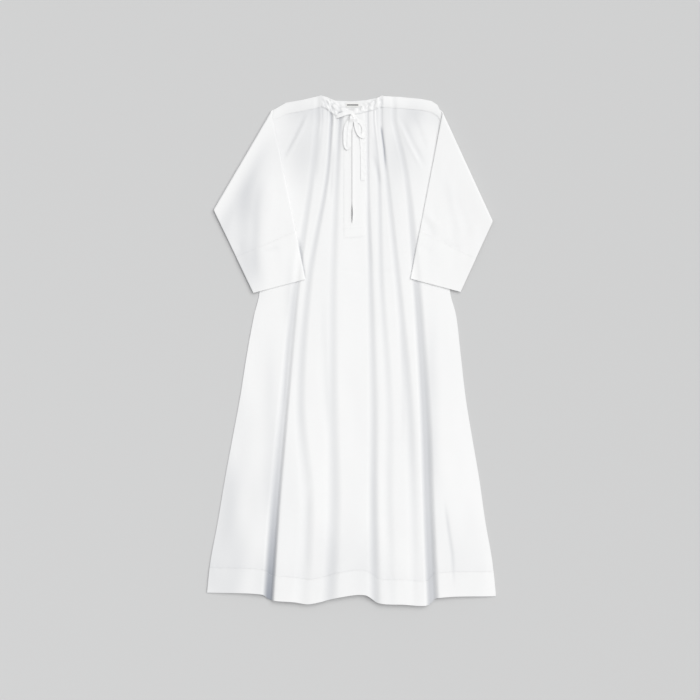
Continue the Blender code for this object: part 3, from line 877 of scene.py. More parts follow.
TOP_X = np.array([column_x(k, np.array([NECK_Y]))[0] for k in range(len(COLUMNS))])
HEM_X = np.array([column_x(k, np.array([HEM_Y]))[0] for k in range(len(COLUMNS))])
TOP_Y = edge_line(FRONT_TOP, TOP_X)
HEM_LINE_Y = smooth_line(*zip(*FRONT_HEM), HEM_X)
BAND_Y = TOP_Y - edge_line(BAND_DEPTHS, TOP_X)
MARKS_Y = np.array([TOP_Y, BAND_Y, HEM_LINE_Y + HEM_DEPTH, HEM_LINE_Y])
SLIT_COLUMN = int(np.argmin(np.abs(TOP_X - SLIT_X)))
NECK_COLUMNS = [int(np.argmin(np.abs(TOP_X - x))) for x in (NECK_LEFT_X, NECK_RIGHT_X)]
PLACKET_COLUMNS = [int(np.argmin(np.abs(TOP_X - x))) for x in (PLACKET_LEFT_X, PLACKET_RIGHT_X)]
BAND_AT_SLIT, SEAM_AT_SLIT = MARKS_Y[1:3, SLIT_COLUMN]
BODY_RUN = BAND_AT_SLIT - SEAM_AT_SLIT
SLIT_END_SHARE = 1 + (BAND_AT_SLIT - SLIT_END_Y) / BODY_RUN
PLACKET_END_SHARE = 1 + (BAND_AT_SLIT - PLACKET_END_Y) / BODY_RUN
print("columns", len(COLUMNS), "slit at", SLIT_COLUMN, "neck at", NECK_COLUMNS)


def spread(start, end, step):
    """Shares of the body from start to end, about step metres apart."""
    parts = max(1, round((end - start) * BODY_RUN / step))
    return list(np.linspace(start, end, parts + 1))


# %% Rows of the front
def body_shares():
    """Rows from the top edge (0) past the band's lower edge (1) down to the hem's seam (2)."""
    marks = [1.0, 1 + FINE_ROWS_REACH / BODY_RUN, SLIT_END_SHARE, PLACKET_END_SHARE, 2.0]
    steps = [ROW_STEP_NECK] + [ROW_STEP_SKIRT] * 3
    shares = list(np.linspace(0, 1, BAND_ROWS + 1))
    for start, end, step in zip(marks, marks[1:], steps):
        shares += spread(start, end, step)[1:]
    return np.array(shares)


def laid_flat(columns, shares):
    """(x, y) of the front's mesh, laid out flat: rows down, columns across."""
    flat_x, flat_y = [], []
    for column in range(columns[0], columns[1] + 1):
        y = np.interp(shares, range(4), MARKS_Y[:, column])
        flat_x.append(column_x(column, y))
        flat_y.append(y)
    return np.array(flat_x).T, np.array(flat_y).T


print("rows", len(body_shares()))

# %% [markdown]
# ## From a grid of points to cloth
# Every sheet is made the same way: a grid of points becomes a mesh with a UV map in metres,
# Solidify gives it the cloth's wall, and the result is kept as a plain mesh with sharp edges
# only at its cut rims. Two grids that share a line, such as the halves beside the slit, are
# welded there.

# %% Cloth from grids
SHARP = math.radians(62)
WELD = 0.00002


class Grid(NamedTuple):
    """Points (rows, columns, 3), flat places (rows, columns, 2) and hollow (rows, columns)."""

    points: np.ndarray
    flat: np.ndarray
    hollow: np.ndarray


def as_grid(x, y, z, hollow):
    points = np.stack(np.broadcast_arrays(x, y, z), axis=-1)
    return Grid(points, np.stack([x, y], axis=-1), np.broadcast_to(hollow, x.shape))


def mesh_from_grids(name, grids, around=False):
    """One mesh of several grids, welded where they meet; around closes each row on itself."""
    points, flats, hollows, faces = [], [], [], []
    start = 0
    for grid in grids:
        rows, columns = grid.hollow.shape
        number = start + np.arange(rows * columns).reshape(rows, columns)
        if around:
            number = np.concatenate([number, number[:, :1]], axis=1)
        quads = [number[:-1, :-1], number[1:, :-1], number[1:, 1:], number[:-1, 1:]]
        faces.append(np.stack(quads, axis=-1).reshape(-1, 4))
        points.append(grid.points.reshape(-1, 3))
        flats.append(grid.flat.reshape(-1, 2))
        hollows.append(grid.hollow.reshape(-1))
        start += rows * columns
    mesh = bpy.data.meshes.new(name)
    mesh.from_pydata(np.concatenate(points).tolist(), [], np.concatenate(faces).tolist())
    corner = np.zeros(len(mesh.loops), int)
    mesh.loops.foreach_get("vertex_index", corner)
    uv = mesh.uv_layers.new(name="cloth")
    uv.data.foreach_set("uv", np.concatenate(flats)[corner].astype(np.float32).ravel())
    hollow = mesh.attributes.new("hollow", "FLOAT", "POINT")
    hollow.data.foreach_set("value", np.concatenate(hollows).astype(np.float32))
    return mesh


# %% A wall of cloth
def cloth_piece(name, mesh, wall, material, face_up=True):
    """An object of the mesh with a wall of cloth, half above and half below, as a plain mesh."""
    bm = bmesh.new()
    bm.from_mesh(mesh)
    bmesh.ops.remove_doubles(bm, verts=bm.verts, dist=WELD)
    if face_up:
        bmesh.ops.recalc_face_normals(bm, faces=bm.faces)
        if sum(face.normal.z * face.calc_area() for face in bm.faces) < 0:
            bmesh.ops.reverse_faces(bm, faces=bm.faces)
    bm.to_mesh(mesh)
    bm.free()
    mesh.shade_smooth()
    mesh.materials.append(material)
    raw = bpy.data.objects.new(name + "_raw", mesh)
    bpy.context.scene.collection.objects.link(raw)
    solidify = raw.modifiers.new("wall", "SOLIDIFY")
    solidify.thickness = wall
    solidify.offset = 0.0
    solidify.use_even_offset = False
    graph = bpy.context.evaluated_depsgraph_get()
    finished = bpy.data.meshes.new_from_object(raw.evaluated_get(graph))
    bpy.data.objects.remove(raw)
    finished.name = name
    finished.shade_smooth()
    finished.set_sharp_from_angle(angle=SHARP)
    piece = bpy.data.objects.new(f"{name}_cloth", finished)
    bpy.context.scene.collection.objects.link(piece)
    return piece


def count_triangles(piece):
    piece.data.calc_loop_triangles()
    return len(piece.data.loop_triangles)


print("walls", CLOTH, DOUBLE_CLOTH)

# %% [markdown]
# ## Gathers at the neck
# The drawstring pulls a wide front into a narrow neck, so the cloth stands in many small
# folds below the casing. They follow the mesh's columns, which spread as they go down, and
# they die out one after another: the fine ones first, the broad ones last.

# %% Gathers
GATHER_STEP = 0.0125
GATHER_HEIGHT = 0.0014
GATHER_REACH = 0.050


class Ripple(NamedTuple):
    """One of the rows of gathers that lie over each other, as shares of the sizes above."""

    step: float
    height: float
    reach: float


RIPPLES = (Ripple(1.0, 1.0, 1.0), Ripple(1.7, 1.1, 2.4), Ripple(0.55, 0.45, 0.5))
DEEPEST_GATHER = 0.0016
GATHER_SHADE = 90.0  # hollow shade for each metre that a gather dips


def gathers(neck_x, below):
    """Height of the gathers, for where a column starts at the neck and how far below it is.

    Two slow waves push the gathers out of step, and a third makes some fuller than others.
    """
    inside = ease((neck_x - NECK_LEFT_X + 0.004) / 0.016)
    inside = inside * ease((NECK_RIGHT_X + 0.004 - neck_x) / 0.016)
    wobble = 1.5 * np.sin(neck_x * 61.0) + 1.1 * np.sin(neck_x * 143.0 + 1.0)
    total = np.zeros(np.broadcast(neck_x, below).shape)
    for number, ripple in enumerate(RIPPLES):
        phase = math.tau * neck_x / (GATHER_STEP * ripple.step) + wobble + number * 1.7
        uneven = 0.60 + 0.40 * np.sin(neck_x * 210.0 + number * 2.0)
        fade = np.exp(-below / (GATHER_REACH * ripple.reach))
        swing = np.cos(phase) - 0.2
        total = total + GATHER_HEIGHT * ripple.height * uneven * fade * swing
    return total * inside


def with_gathers(columns, shares, x, y, z, hollow):
    """The front's form with the gathers added, held down under the casing and the placket, with
    painted shade in their dips.
    """
    neck_x = TOP_X[columns[0] : columns[1] + 1][None, :]
    below = np.maximum(shares[:, None] - 1, 0.0) * BODY_RUN
    beside = ease((np.maximum(PLACKET_LEFT_X - x, x - PLACKET_RIGHT_X) + 0.004) / 0.012)
    free = 0.25 + 0.75 * ease(below / 0.006)
    amount = gathers(neck_x, below) * (0.12 + 0.88 * beside) * free
    shade = np.clip(-amount, 0, 1) * GATHER_SHADE
    return x, y, z + np.maximum(amount, -DEEPEST_GATHER), hollow + shade


print("gathers about", GATHER_STEP, "m apart")

# %% [markdown]
# ## The front body
# The front is cut in one piece with a slit down from the neck. Its mesh could be one grid with
# a hole in it, but then the slit would have no clean edges. So it is made as two halves that
# meet at the slit's line. They are welded below the slit's end and drawn apart above it.


# %% The slit and the front's grids
def slit_gap(y):
    """How far apart the slit's edges stand."""
    off = np.clip(np.abs(y - SLIT_GAPE_Y) / SLIT_GAPE_REACH, 0, 1)
    return SLIT_GAP + SLIT_GAPE * (1 + np.cos(math.pi * off)) / 2


def open_slit(grid, side):
    """The half of the front on one side of the slit, with its edge drawn back from it."""
    x, y = grid.points[..., 0], grid.points[..., 1]
    column = 0 if side > 0 else -1
    gap = np.where(y[:, column] > SLIT_END_Y + SEAM_GAP, slit_gap(y[:, column]) / 2, 0.0)
    x[:, column] += side * gap
    return grid


def front_grids(columns, shares, lift=0.0, inset=SEAM_SHOWN, form=None):
    """The grids of a piece of the front, in two halves where the slit runs through it."""
    halves = []
    ranges = [columns]
    if columns[0] < SLIT_COLUMN < columns[1]:
        ranges = [(columns[0], SLIT_COLUMN), (SLIT_COLUMN, columns[1])]
    for part in ranges:
        flat_x, flat_y = laid_flat(part, shares)
        x, y, z, hollow = front_form(flat_x, flat_y)
        x, y, z, hollow = with_gathers(part, shares, x, y, z, hollow)
        if form is not None:
            z, hollow = form(part, shares, flat_x, flat_y, z, hollow)
        y = y.copy()
        y[0] -= inset
        y[-1] += inset
        made = as_grid(x, y, z + lift, hollow)
        made = made._replace(flat=np.stack([flat_x, flat_y], axis=-1))
        if part[1] == SLIT_COLUMN:
            made = open_slit(made, -1)
        if part[0] == SLIT_COLUMN:
            made = open_slit(made, 1)
        halves.append(made)
    return halves


WHOLE = (0, len(COLUMNS) - 1)
print("slit at its widest", round(float(slit_gap(SLIT_GAPE_Y)), 4))


# %% The front body
PUCKER_REACH = 0.010
PUCKER_LENGTH = 0.017
PUCKER_HEIGHT = 0.00025
PUCKER_DIP = 0.0004
PUCKER_SHADE = 0.02


def pucker(part, shares, x, y, z, hollow):
    """Small ripples, a slight dip and a line of painted shade on the body just above the hem's
    stitching.
    """
    above = (2 - shares[:, None]) * BODY_RUN
    near = np.exp(-above / PUCKER_REACH)
    ripple = np.sin(x * math.tau / PUCKER_LENGTH + 1.3 * np.sin(x * 37.0))
    return z + near * (PUCKER_HEIGHT * ripple - PUCKER_DIP), hollow + near * PUCKER_SHADE


front_body = cloth_piece(
    "front_body",
    mesh_from_grids("front_body", front_grids(WHOLE, body_shares(), form=pucker)),
    CLOTH,
    cotton,
)
print("front body", count_triangles(front_body), "triangles")

# %% [markdown]
# ## The front's hem
# The hem is a second layer turned up inside, so it is whiter and stiffer than the skirt. It
# could be shown by a line of stitches alone. As a piece of its own with a thicker wall, it also
# catches the light at its seam, and it follows the same folds as the skirt above it.

# %% The front's hem
HEM_ROWS = 12
HEM_BELLY = 0.0005
HEM_RIPPLE_LENGTH = 0.021
HEM_RIPPLE_HEIGHT = 0.0002
HEM_RIPPLE_REACH = 0.15  # as a share of the hem's depth


def hem_form(part, shares, x, y, z, hollow):
    """The hem bellies a little between its seam and its turned edge, and ripples at the seam."""
    down = np.clip(shares[:, None] - 2, 0, 1)
    belly = HEM_BELLY * np.sin(math.pi * down)
    ripple = np.sin(x * math.tau / HEM_RIPPLE_LENGTH + 1.1 * np.sin(x * 41.0))
    fade = np.exp(-down / HEM_RIPPLE_REACH)
    return z + belly + HEM_RIPPLE_HEIGHT * ripple * fade, hollow


hem_shares = np.linspace(2.0, 3.0, HEM_ROWS + 1)
hem_front = cloth_piece(
    "hem_front",
    mesh_from_grids("hem_front", front_grids(WHOLE, hem_shares, form=hem_form)),
    DOUBLE_CLOTH,
    double_cotton,
)
print("front hem", count_triangles(hem_front), "triangles")

# %% [markdown]
# ## Straps
# A strap is a band of cloth stitched over each shoulder seam, so it lies one cloth higher than
# the front. It is made from the front's own rows and columns, lifted, because then it can't
# slip through the cloth that it is sewn to.

# %% Straps
ON_FRONT = CLOTH  # how far a band's middle lies above the middle of the front's cloth
BAND_WALL = CLOTH * 0.6  # a pressed band is thinner than loose cloth
STRAP_RISE = 0.0007
band_shares = np.linspace(0.0, 1.0, BAND_ROWS + 1)
strap_columns = {"left": (0, NECK_COLUMNS[0]), "right": (NECK_COLUMNS[1], WHOLE[1])}


def strap_form(part, shares, x, y, z, hollow):
    """A strap is raised between its two rows of stitching, with less of the front's painted shade.
    """
    down = np.clip(shares[:, None], 0, 1)
    return z + STRAP_RISE * np.sin(math.pi * down) ** 0.5, hollow * 0.4


straps = {}
for side, columns in strap_columns.items():
    name = f"strap_{side}"
    grids = front_grids(columns, band_shares, lift=ON_FRONT, form=strap_form)
    straps[side] = cloth_piece(name, mesh_from_grids(name, grids), BAND_WALL, double_cotton)
print("straps", [count_triangles(piece) for piece in straps.values()])

# %% [markdown]
# ## Placket
# The placket is a band stitched round the slit so that its edges don't tear. It is pressed, so
# it lies smoother than the gathered front, with a low ridge along the slit where its edges are
# turned in. One of its rows is moved to the slit's end, so that the slit stops exactly there.

# %% Placket
PLACKET_ROWS_STEP = 0.0045
SLIT_RIDGE = 0.0009
SLIT_RIDGE_REACH = 0.006
PLACKET_EDGE_DROP = 0.0005
PLACKET_EDGE_REACH = 0.0015
placket_shares = np.array(spread(1.0, PLACKET_END_SHARE, PLACKET_ROWS_STEP))
slit_row = int(np.argmin(np.abs(placket_shares - SLIT_END_SHARE)))
placket_shares[slit_row] = SLIT_END_SHARE


def placket_form(part, shares, x, y, z, hollow):
    """The band lies smoother than the front, with a soft edge, a low ridge at the slit and half the
    front's painted shade.
    """
    from_edge = np.minimum(x - PLACKET_LEFT_X, PLACKET_RIGHT_X - x)
    from_slit = np.abs(x - SLIT_X)
    upwards = ease((y - SLIT_END_Y + 0.02) / 0.03)
    ridge = SLIT_RIDGE * np.exp(-((from_slit / SLIT_RIDGE_REACH) ** 2)) * upwards
    drop = PLACKET_EDGE_DROP * np.exp(-from_edge / PLACKET_EDGE_REACH)
    return z + ridge - drop, hollow * 0.5


placket = cloth_piece(
    "placket",
    mesh_from_grids(
        "placket", front_grids(PLACKET_COLUMNS, placket_shares, lift=ON_FRONT, form=placket_form)
    ),
    BAND_WALL,
    double_cotton,
)
print("placket", count_triangles(placket), "triangles")

# %% [markdown]
# ## The gathered casing
# The casing is a channel of cloth that the drawstring runs through. Gathered tight, it crinkles
# into puffs between its rows of stitching. Real crinkles have no order, but noise alone looks
# like a rough stone. So nine waves that run in different directions are added up and capped,
# which gives rounded puffs with narrow valleys between them.

# %% Crinkle
PUFF_ALONG = 0.0145
PUFF_DOWN = 0.0230
PUFF_HEIGHT = 0.0030
PUFF_WAVES = 9
PUFF_SEED = 12


def crinkle(along, down):
    """Height of the puffs, for metres along the neck and metres down from the top edge."""
    random = np.random.default_rng(PUFF_SEED)
    total = np.zeros(np.broadcast(along, down).shape)
    for _ in range(PUFF_WAVES):
        turn = random.uniform(0, math.tau)
        length = random.uniform(0.7, 1.6)
        across, over = math.cos(turn) / PUFF_ALONG, math.sin(turn) / PUFF_DOWN
        phase = math.tau * (along * across + down * over) / length
        total += np.sin(phase + random.uniform(0, math.tau))
    return PUFF_HEIGHT * (0.5 + 0.5 * np.tanh(total / 2.2))


print("highest puff", round(float(crinkle(np.linspace(0, 0.2, 200), 0.01).max()), 4))

# %% Casing of the front's neck
CASING_COLUMNS_STEP = 0.0009
CASING_ROWS = 26
CASING_WALL = CLOTH * 0.7
CASING_LIFT = ON_FRONT + SEAM_GAP
CASING_FULLNESS = 2.2  # of flat cloth gathered into each length of neck
PUFF_FADE = 0.012
STITCHED_REACH = 0.0022
# The dimple beside the drawstring, where the gathered cloth sinks, darkened by painted shade: x, y,
# reach, depth.
DIMPLE = (-0.0330, 0.6840, 0.0062, 0.0024)


def casing_grid(columns):
    """A finer grid over the neck's columns, with the crinkle on it and painted shade in its
    valleys.
    """
    down = np.linspace(0, 1, CASING_ROWS + 1)
    flat_x, flat_y = laid_flat(columns, down)
    x, y, z, hollow = front_form(flat_x, flat_y)
    run = np.hypot(np.diff(x[0]), np.diff(y[0]))
    along = np.concatenate([[0.0], np.cumsum(run)])
    fine = np.linspace(0, along[-1], round(along[-1] / CASING_COLUMNS_STEP) + 1)
    x, y, z, hollow = (
        np.stack([np.interp(fine, along, row) for row in values]) for values in (x, y, z, hollow)
    )
    depth = edge_line(BAND_DEPTHS, x)
    place = fine[None, :] + TOP_X[columns[0]]
    rise = crinkle(place, down[:, None] * depth)
    rise = rise * (0.55 + 0.45 * np.sin(math.pi * down[:, None]) ** 0.5)
    from_strap = np.minimum(x - NECK_LEFT_X, NECK_RIGHT_X - x)
    rise = rise * (0.2 + 0.8 * ease(from_strap / PUFF_FADE))
    stitched = np.exp(-(((1 - down[:, None]) * depth / STITCHED_REACH) ** 2))
    rise = rise * (1 - 0.6 * stitched)
    dip_x, dip_y, reach, dip = DIMPLE
    sunk = np.exp(-(((x - dip_x) / reach) ** 2) - ((y - dip_y) / reach) ** 2)
    rise = np.maximum(rise - dip * sunk, 0.0)
    sway = 0.0012 * np.sin(math.tau * place / (PUFF_ALONG * 1.1)) * (1 - down[:, None])
    # painted shade: in the valleys between puffs, in the dimple and along the stitching, over a
    # little of the front's
    shade = np.clip(0.0015 - rise, 0, 1) * 70.0 + sunk * 0.45 + stitched * 0.05
    points = np.stack([x, y + sway, z + CASING_LIFT + rise], axis=-1)
    return Grid(points, np.stack([x * CASING_FULLNESS, y], axis=-1), hollow * 0.3 + shade)


casings, casing_grids = {}, {}
neck_parts = {"left": (NECK_COLUMNS[0], SLIT_COLUMN), "right": (SLIT_COLUMN, NECK_COLUMNS[1])}
for side, columns in neck_parts.items():
    name = f"casing_{side}"
    grid = casing_grid(columns)
    edge, away = (-1, -1) if side == "left" else (0, 1)
    grid.points[:, edge, 0] += away * SLIT_GAP / 2
    casing_grids[side] = grid
    mesh = mesh_from_grids(name, [grid])
    casings[side] = cloth_piece(name, mesh, CASING_WALL, double_cotton)
print("casings", [count_triangles(piece) for piece in casings.values()])

# %% [markdown]
# ## The back
# The back is cut like the front, without the slit and the gathers. It lies flat on the floor
# and hardly shows, so it only needs its outline, its wall and its hem. Its side edges depend on
# height and its top edge on where it is across, so a few steps bring the two together.

# %% Back body and hem
BACK_COLUMNS = 120
BACK_ROWS = 150
BACK_HEM_ROWS = 8
BACK_SHADE = 0.02


def back_grid(top, bottom, low, rows):
    """A flat grid between two edge lines whose side edges follow the body's outline."""
    share = np.linspace(-1, 1, BACK_COLUMNS + 1)[None, :]
    down = np.linspace(0, 1, rows + 1)[:, None]
    x = np.repeat(share * SHOULDER_TIP_X[1], rows + 1, axis=0)
    for _ in range(5):  # the outline depends on y, and the edge lines on x, so step to both
        y = top(x) + (bottom(x) - top(x)) * down
        left, right = sides(y)
        x = left + (right - left) * (share + 1) / 2
    return as_grid(x, y, np.full(x.shape, low), np.full(x.shape, BACK_SHADE))


def back_neck(x):
    return edge_line(BACK_TOP, x)


def back_edge(x):
    return edge_line(BACK_HEM, x)


def back_seam(gap):
    """The line of the hem's seam, moved up by gap."""
    return lambda x: back_edge(x) + HEM_DEPTH + gap


body_grid = back_grid(back_neck, back_seam(SEAM_GAP / 2), CLOTH / 2, BACK_ROWS)
hem_grid = back_grid(back_seam(-SEAM_GAP / 2), back_edge, DOUBLE_CLOTH / 2, BACK_HEM_ROWS)
back_body = cloth_piece("back_body", mesh_from_grids("back_body", [body_grid]), CLOTH, cotton)
hem_back = cloth_piece(
    "hem_back", mesh_from_grids("hem_back", [hem_grid]), DOUBLE_CLOTH, double_cotton
)
print("back", count_triangles(back_body) + count_triangles(hem_back), "triangles")

# %% [markdown]
# ## Casing of the back's neck
# The drawstring runs round the back too, so the back's neck has the same crinkle, only flatter
# because the label is sewn there and it lies under the front's. It shows in the neck's opening,
# above the front's edge. The label's place is set here, because the casing lies flat under it.

# %% Casing of the back's neck
BACK_CASING_DEPTH = 0.024
BACK_CASING_REACH = (-0.32, 0.30)  # of half the shoulders' width, to the left and the right
BACK_CASING_WALL = CLOTH * 0.8
BACK_CASING_POINTS = (150, 15)  # across and down
BACK_PUFFS = 0.6  # of the height of the front's puffs
LABEL_SIZE = (0.0380, 0.0110, 0.0008)
LABEL_MIDDLE = (0.0035, 0.7110, 0.0037)
INSIDE_NECK_Z = CLOTH * 1.5 + SEAM_GAP


def back_casing_grid():
    share = np.linspace(*BACK_CASING_REACH, BACK_CASING_POINTS[0])[None, :]
    down = np.linspace(0, 1, BACK_CASING_POINTS[1])[:, None]
    middle = (SHOULDER_TIP_X[0] + SHOULDER_TIP_X[1]) / 2
    x = middle + share * (SHOULDER_TIP_X[1] - SHOULDER_TIP_X[0]) / 2 + 0 * down
    y = edge_line(BACK_TOP, x) - SEAM_GAP - BACK_CASING_DEPTH * down
    puffs = crinkle(x + 0.5, BACK_CASING_DEPTH * down)
    rise = BACK_PUFFS * puffs * np.sin(math.pi * down) ** 0.6
    rise = rise * (1 - 0.85 * np.exp(-(((x - LABEL_MIDDLE[0]) / LABEL_SIZE[0] / 0.75) ** 4)))
    # painted shade over the band, less on the tops of its puffs
    return Grid(
        np.stack([x, y, INSIDE_NECK_Z + rise], axis=-1),
        np.stack([x, y], axis=-1),
        0.08 - rise * 40.0,
    )


back_casing_mesh = mesh_from_grids("casing_back", [back_casing_grid()])
casing_back = cloth_piece("casing_back", back_casing_mesh, BACK_CASING_WALL, double_cotton)
print("back casing", count_triangles(casing_back), "triangles")

# %% [markdown]
# ## Sleeves and cuffs
# Each sleeve is one tube, pressed flat and then bent over a line from the shoulder's tip, so
# that it lies on the front. Modelling it as it lies, with four layers, would be hard to keep
# free of crossings. So the flat tube is made first, and each of its points is carried over the
# bend by a rule. The corners and the creases of each side stand in a table.

# %% How a sleeve lies
SLEEVE_LOW_Z = CLOTH / 2
SLEEVE_FOLD_Z = 0.0046  # height of the line that the sleeve bends round
SLEEVE_EDGE_RADIUS = 0.0009
SLEEVE_BULGE = 0.0008
SLEEVE_BEND = 0.0040
SLEEVE_BEND_STEPS = 10
SLEEVE_EDGE_STEPS = 8
SLEEVE_ACROSS = 44
SLEEVE_ALONG_STEP = 0.0055


class Sleeve(NamedTuple):
    """Corners of a sleeve as it lies, (x, y). The cuff's two corners are past the fold."""

    side: str
    shoulder: tuple
    underarm: tuple
    elbow: tuple
    cuff_inner: tuple
    cuff_outer: tuple
    creases: tuple


SLEEVES = (
    Sleeve(
        "left",
        shoulder=(-0.2245, 0.6974),
        underarm=(-0.2590, 0.4190),
        elbow=(-0.4045, 0.3990),
        cuff_inner=(-0.1343, 0.2053),
        cuff_outer=(-0.2833, 0.1665),
        creases=(
            Crease(
                (
                    (-0.245, 0.660),
                    (-0.276, 0.565),
                    (-0.305, 0.470),
                    (-0.322, 0.370),
                    (-0.322, 0.200),
                ),
                0.022,
                0.0012,
                0.02,
            ),
            Crease(
                ((-0.262, 0.650), (-0.290, 0.565), (-0.318, 0.470), (-0.345, 0.380)), 0.012, -0.0010
            ),
            Crease(
                ((-0.262, 0.520), (-0.276, 0.400), (-0.280, 0.280), (-0.276, 0.180)),
                0.012,
                0.0014,
                0.02,
            ),
            Crease(((-0.345, 0.450), (-0.358, 0.360), (-0.345, 0.270)), 0.018, 0.0008, 0.01),
            Crease(((-0.326, 0.330), (-0.320, 0.285), (-0.345, 0.262)), 0.009, 0.0009, 0.01),
            Crease(((-0.200, 0.305), (-0.235, 0.290), (-0.262, 0.292)), 0.006, 0.0005, 0.01),
        ),
    ),
    Sleeve(
        "right",
        shoulder=(0.2560, 0.6974),
        underarm=(0.2630, 0.4190),
        elbow=(0.4066, 0.3811),
        cuff_inner=(0.1717, 0.2071),
        cuff_outer=(0.3152, 0.1694),
        creases=(
            Crease(
                ((0.262, 0.520), (0.284, 0.420), (0.296, 0.345), (0.303, 0.260)),
                0.012,
                0.0010,
                0.005,
            ),
            Crease(((0.290, 0.480), (0.325, 0.390), (0.345, 0.310)), 0.014, 0.0008),
            Crease(((0.195, 0.405), (0.222, 0.366), (0.244, 0.320)), 0.010, 0.0011, 0.005),
            Crease(((0.212, 0.405), (0.236, 0.372), (0.262, 0.350)), 0.009, -0.0007),
            Crease(((0.250, 0.322), (0.290, 0.300), (0.325, 0.292)), 0.008, 0.0008),
            Crease(((0.180, 0.330), (0.205, 0.295), (0.240, 0.280)), 0.007, 0.0006),
        ),
    ),
)
print("sleeves bend over at", [lay.shoulder for lay in SLEEVES])


# %% Bending a flat tube over
def bend_frame(lay):
    """The fold line's start, and the way out from the body across that line."""
    start, elbow = Vector(lay.shoulder), Vector(lay.elbow)
    for _ in range(2):  # the second time round, the bend itself reaches the elbow's corner
        along = (elbow - start).normalized()
        out = Vector((along.y, -along.x)) * math.copysign(1.0, -elbow.x)
        elbow = Vector(lay.elbow) - SLEEVE_FOLD_Z * out
    return start, out


def unfolded(lay, corner):
    """Where a corner of the folded-over part lay before the sleeve was folded."""
    start, out = bend_frame(lay)
    point = Vector(corner)
    past = (point - start).dot(out)
    return point + (math.pi * SLEEVE_BEND - 2 * past) * out


def folded(lay, points):
    """Where points of the flat tube lie once it is bent, and how far past the bend they are."""
    start, out = (np.array(v) for v in bend_frame(lay))
    past = (points[:, :2] - start) @ out
    turn = np.clip(past / SLEEVE_BEND, 0, math.pi)
    rest = np.maximum(past - math.pi * SLEEVE_BEND, 0)
    radius = SLEEVE_FOLD_Z - points[:, 2]
    move = np.where(past > 0, radius * np.sin(turn) - rest - past, 0.0)
    z = np.where(past > 0, SLEEVE_FOLD_Z - radius * np.cos(turn), points[:, 2])
    return np.column_stack([points[:, :2] + move[:, None] * out, z]), rest


# %% The flat tube
def tube_ring(width):
    """(distance in from the top edge, height) round a flat tube that is fuller in its middle."""
    radius = SLEEVE_EDGE_RADIUS
    middle = SLEEVE_LOW_Z + radius
    across = [radius + (width - 2 * radius) * k / SLEEVE_ACROSS for k in range(SLEEVE_ACROSS)]
    turns = [math.pi * k / SLEEVE_EDGE_STEPS for k in range(SLEEVE_EDGE_STEPS)]
    ring = []
    for d in across:
        full = math.sin(math.pi * (d - radius) / (width - 2 * radius)) ** 0.5
        ring.append((d, middle + radius + SLEEVE_BULGE * full))
    ring += [(width - radius + radius * math.sin(t), middle + radius * math.cos(t)) for t in turns]
    ring += [(width - d, middle - radius) for d in across]
    ring += [(radius - radius * math.sin(t), middle - radius * math.cos(t)) for t in turns]
    return ring


def sleeve_grid(lay, stations):
    """The flat tube between shares of the sleeve's length: a row for each station."""
    shoulder, underarm = Vector(lay.shoulder), Vector(lay.underarm)
    inner, outer = unfolded(lay, lay.cuff_inner), unfolded(lay, lay.cuff_outer)
    length = (inner - shoulder).length
    points, flats = [], []
    for number, share in enumerate(stations):
        top, low = shoulder.lerp(inner, share), underarm.lerp(outer, share)
        inset = SEAM_SHOWN * ((number == 0) - (number == len(stations) - 1))
        step = (inner - shoulder).normalized() * inset
        width = (low - top).length
        row, flat = [], []
        for k, (distance, z) in enumerate(tube_ring(width)):
            place = top.lerp(low, distance / width) + step
            row.append((place.x, place.y, z))
            flat.append((distance if k < SLEEVE_ACROSS else 2 * width - distance, share * length))
        points.append(row)
        flats.append(flat)
    points = np.array(points)
    return Grid(points, np.array(flats), np.full(points.shape[:2], 0.0))


print("points round a tube", len(tube_ring(0.2)))

# %% [markdown]
# ## How the sleeve sinks on to what is under it
# A tube bent by rule alone would float level over the front. Cloth doesn't: it sinks until it
# rests. So the folded part is lowered on to the highest cloth under it, which is its own lower
# part or the arched front, and it is cut in small steps where it turns. Its creases and waves
# are pressed only into the layer that shows, so the layers never cross.


# %% Draping a sleeve
def cut_near_bend(mesh, lay):
    """Lines cut across the tube where it will bend, so that it can turn there in small steps."""
    start, out = bend_frame(lay)
    bm = bmesh.new()
    bm.from_mesh(mesh)
    for k in range(SLEEVE_BEND_STEPS + 1):
        place = start + out * (math.pi * SLEEVE_BEND * k / SLEEVE_BEND_STEPS)
        everything = bm.verts[:] + bm.edges[:] + bm.faces[:]
        bmesh.ops.bisect_plane(
            bm, geom=everything, plane_co=(*place, 0.0), plane_no=(*out, 0.0), dist=0.0002
        )
    bm.to_mesh(mesh)
    bm.free()


DRAPE_REACH = 0.050
LAYER_GAP = 0.0005
DEEPEST_CREASE = 0.003
DEEPEST_WAVE = 0.0003
SLEEVE_WAVES = ((0.13, 21, 0.0008), (0.04, 22, 0.0003))  # size, seed and height of each


def support_z(x, y):
    """The highest cloth under the folded sleeve: its own lower part, or the front."""
    own_top = SLEEVE_LOW_Z + SLEEVE_EDGE_RADIUS * 2 + SLEEVE_BULGE + CLOTH / 2
    left, right = sides(y)
    _, _, front, _ = front_form(x, y)
    on_body = ease(np.minimum(x - left, right - x) / 0.012)
    return own_top + (np.maximum(front + CLOTH / 2, own_top) - own_top) * on_body


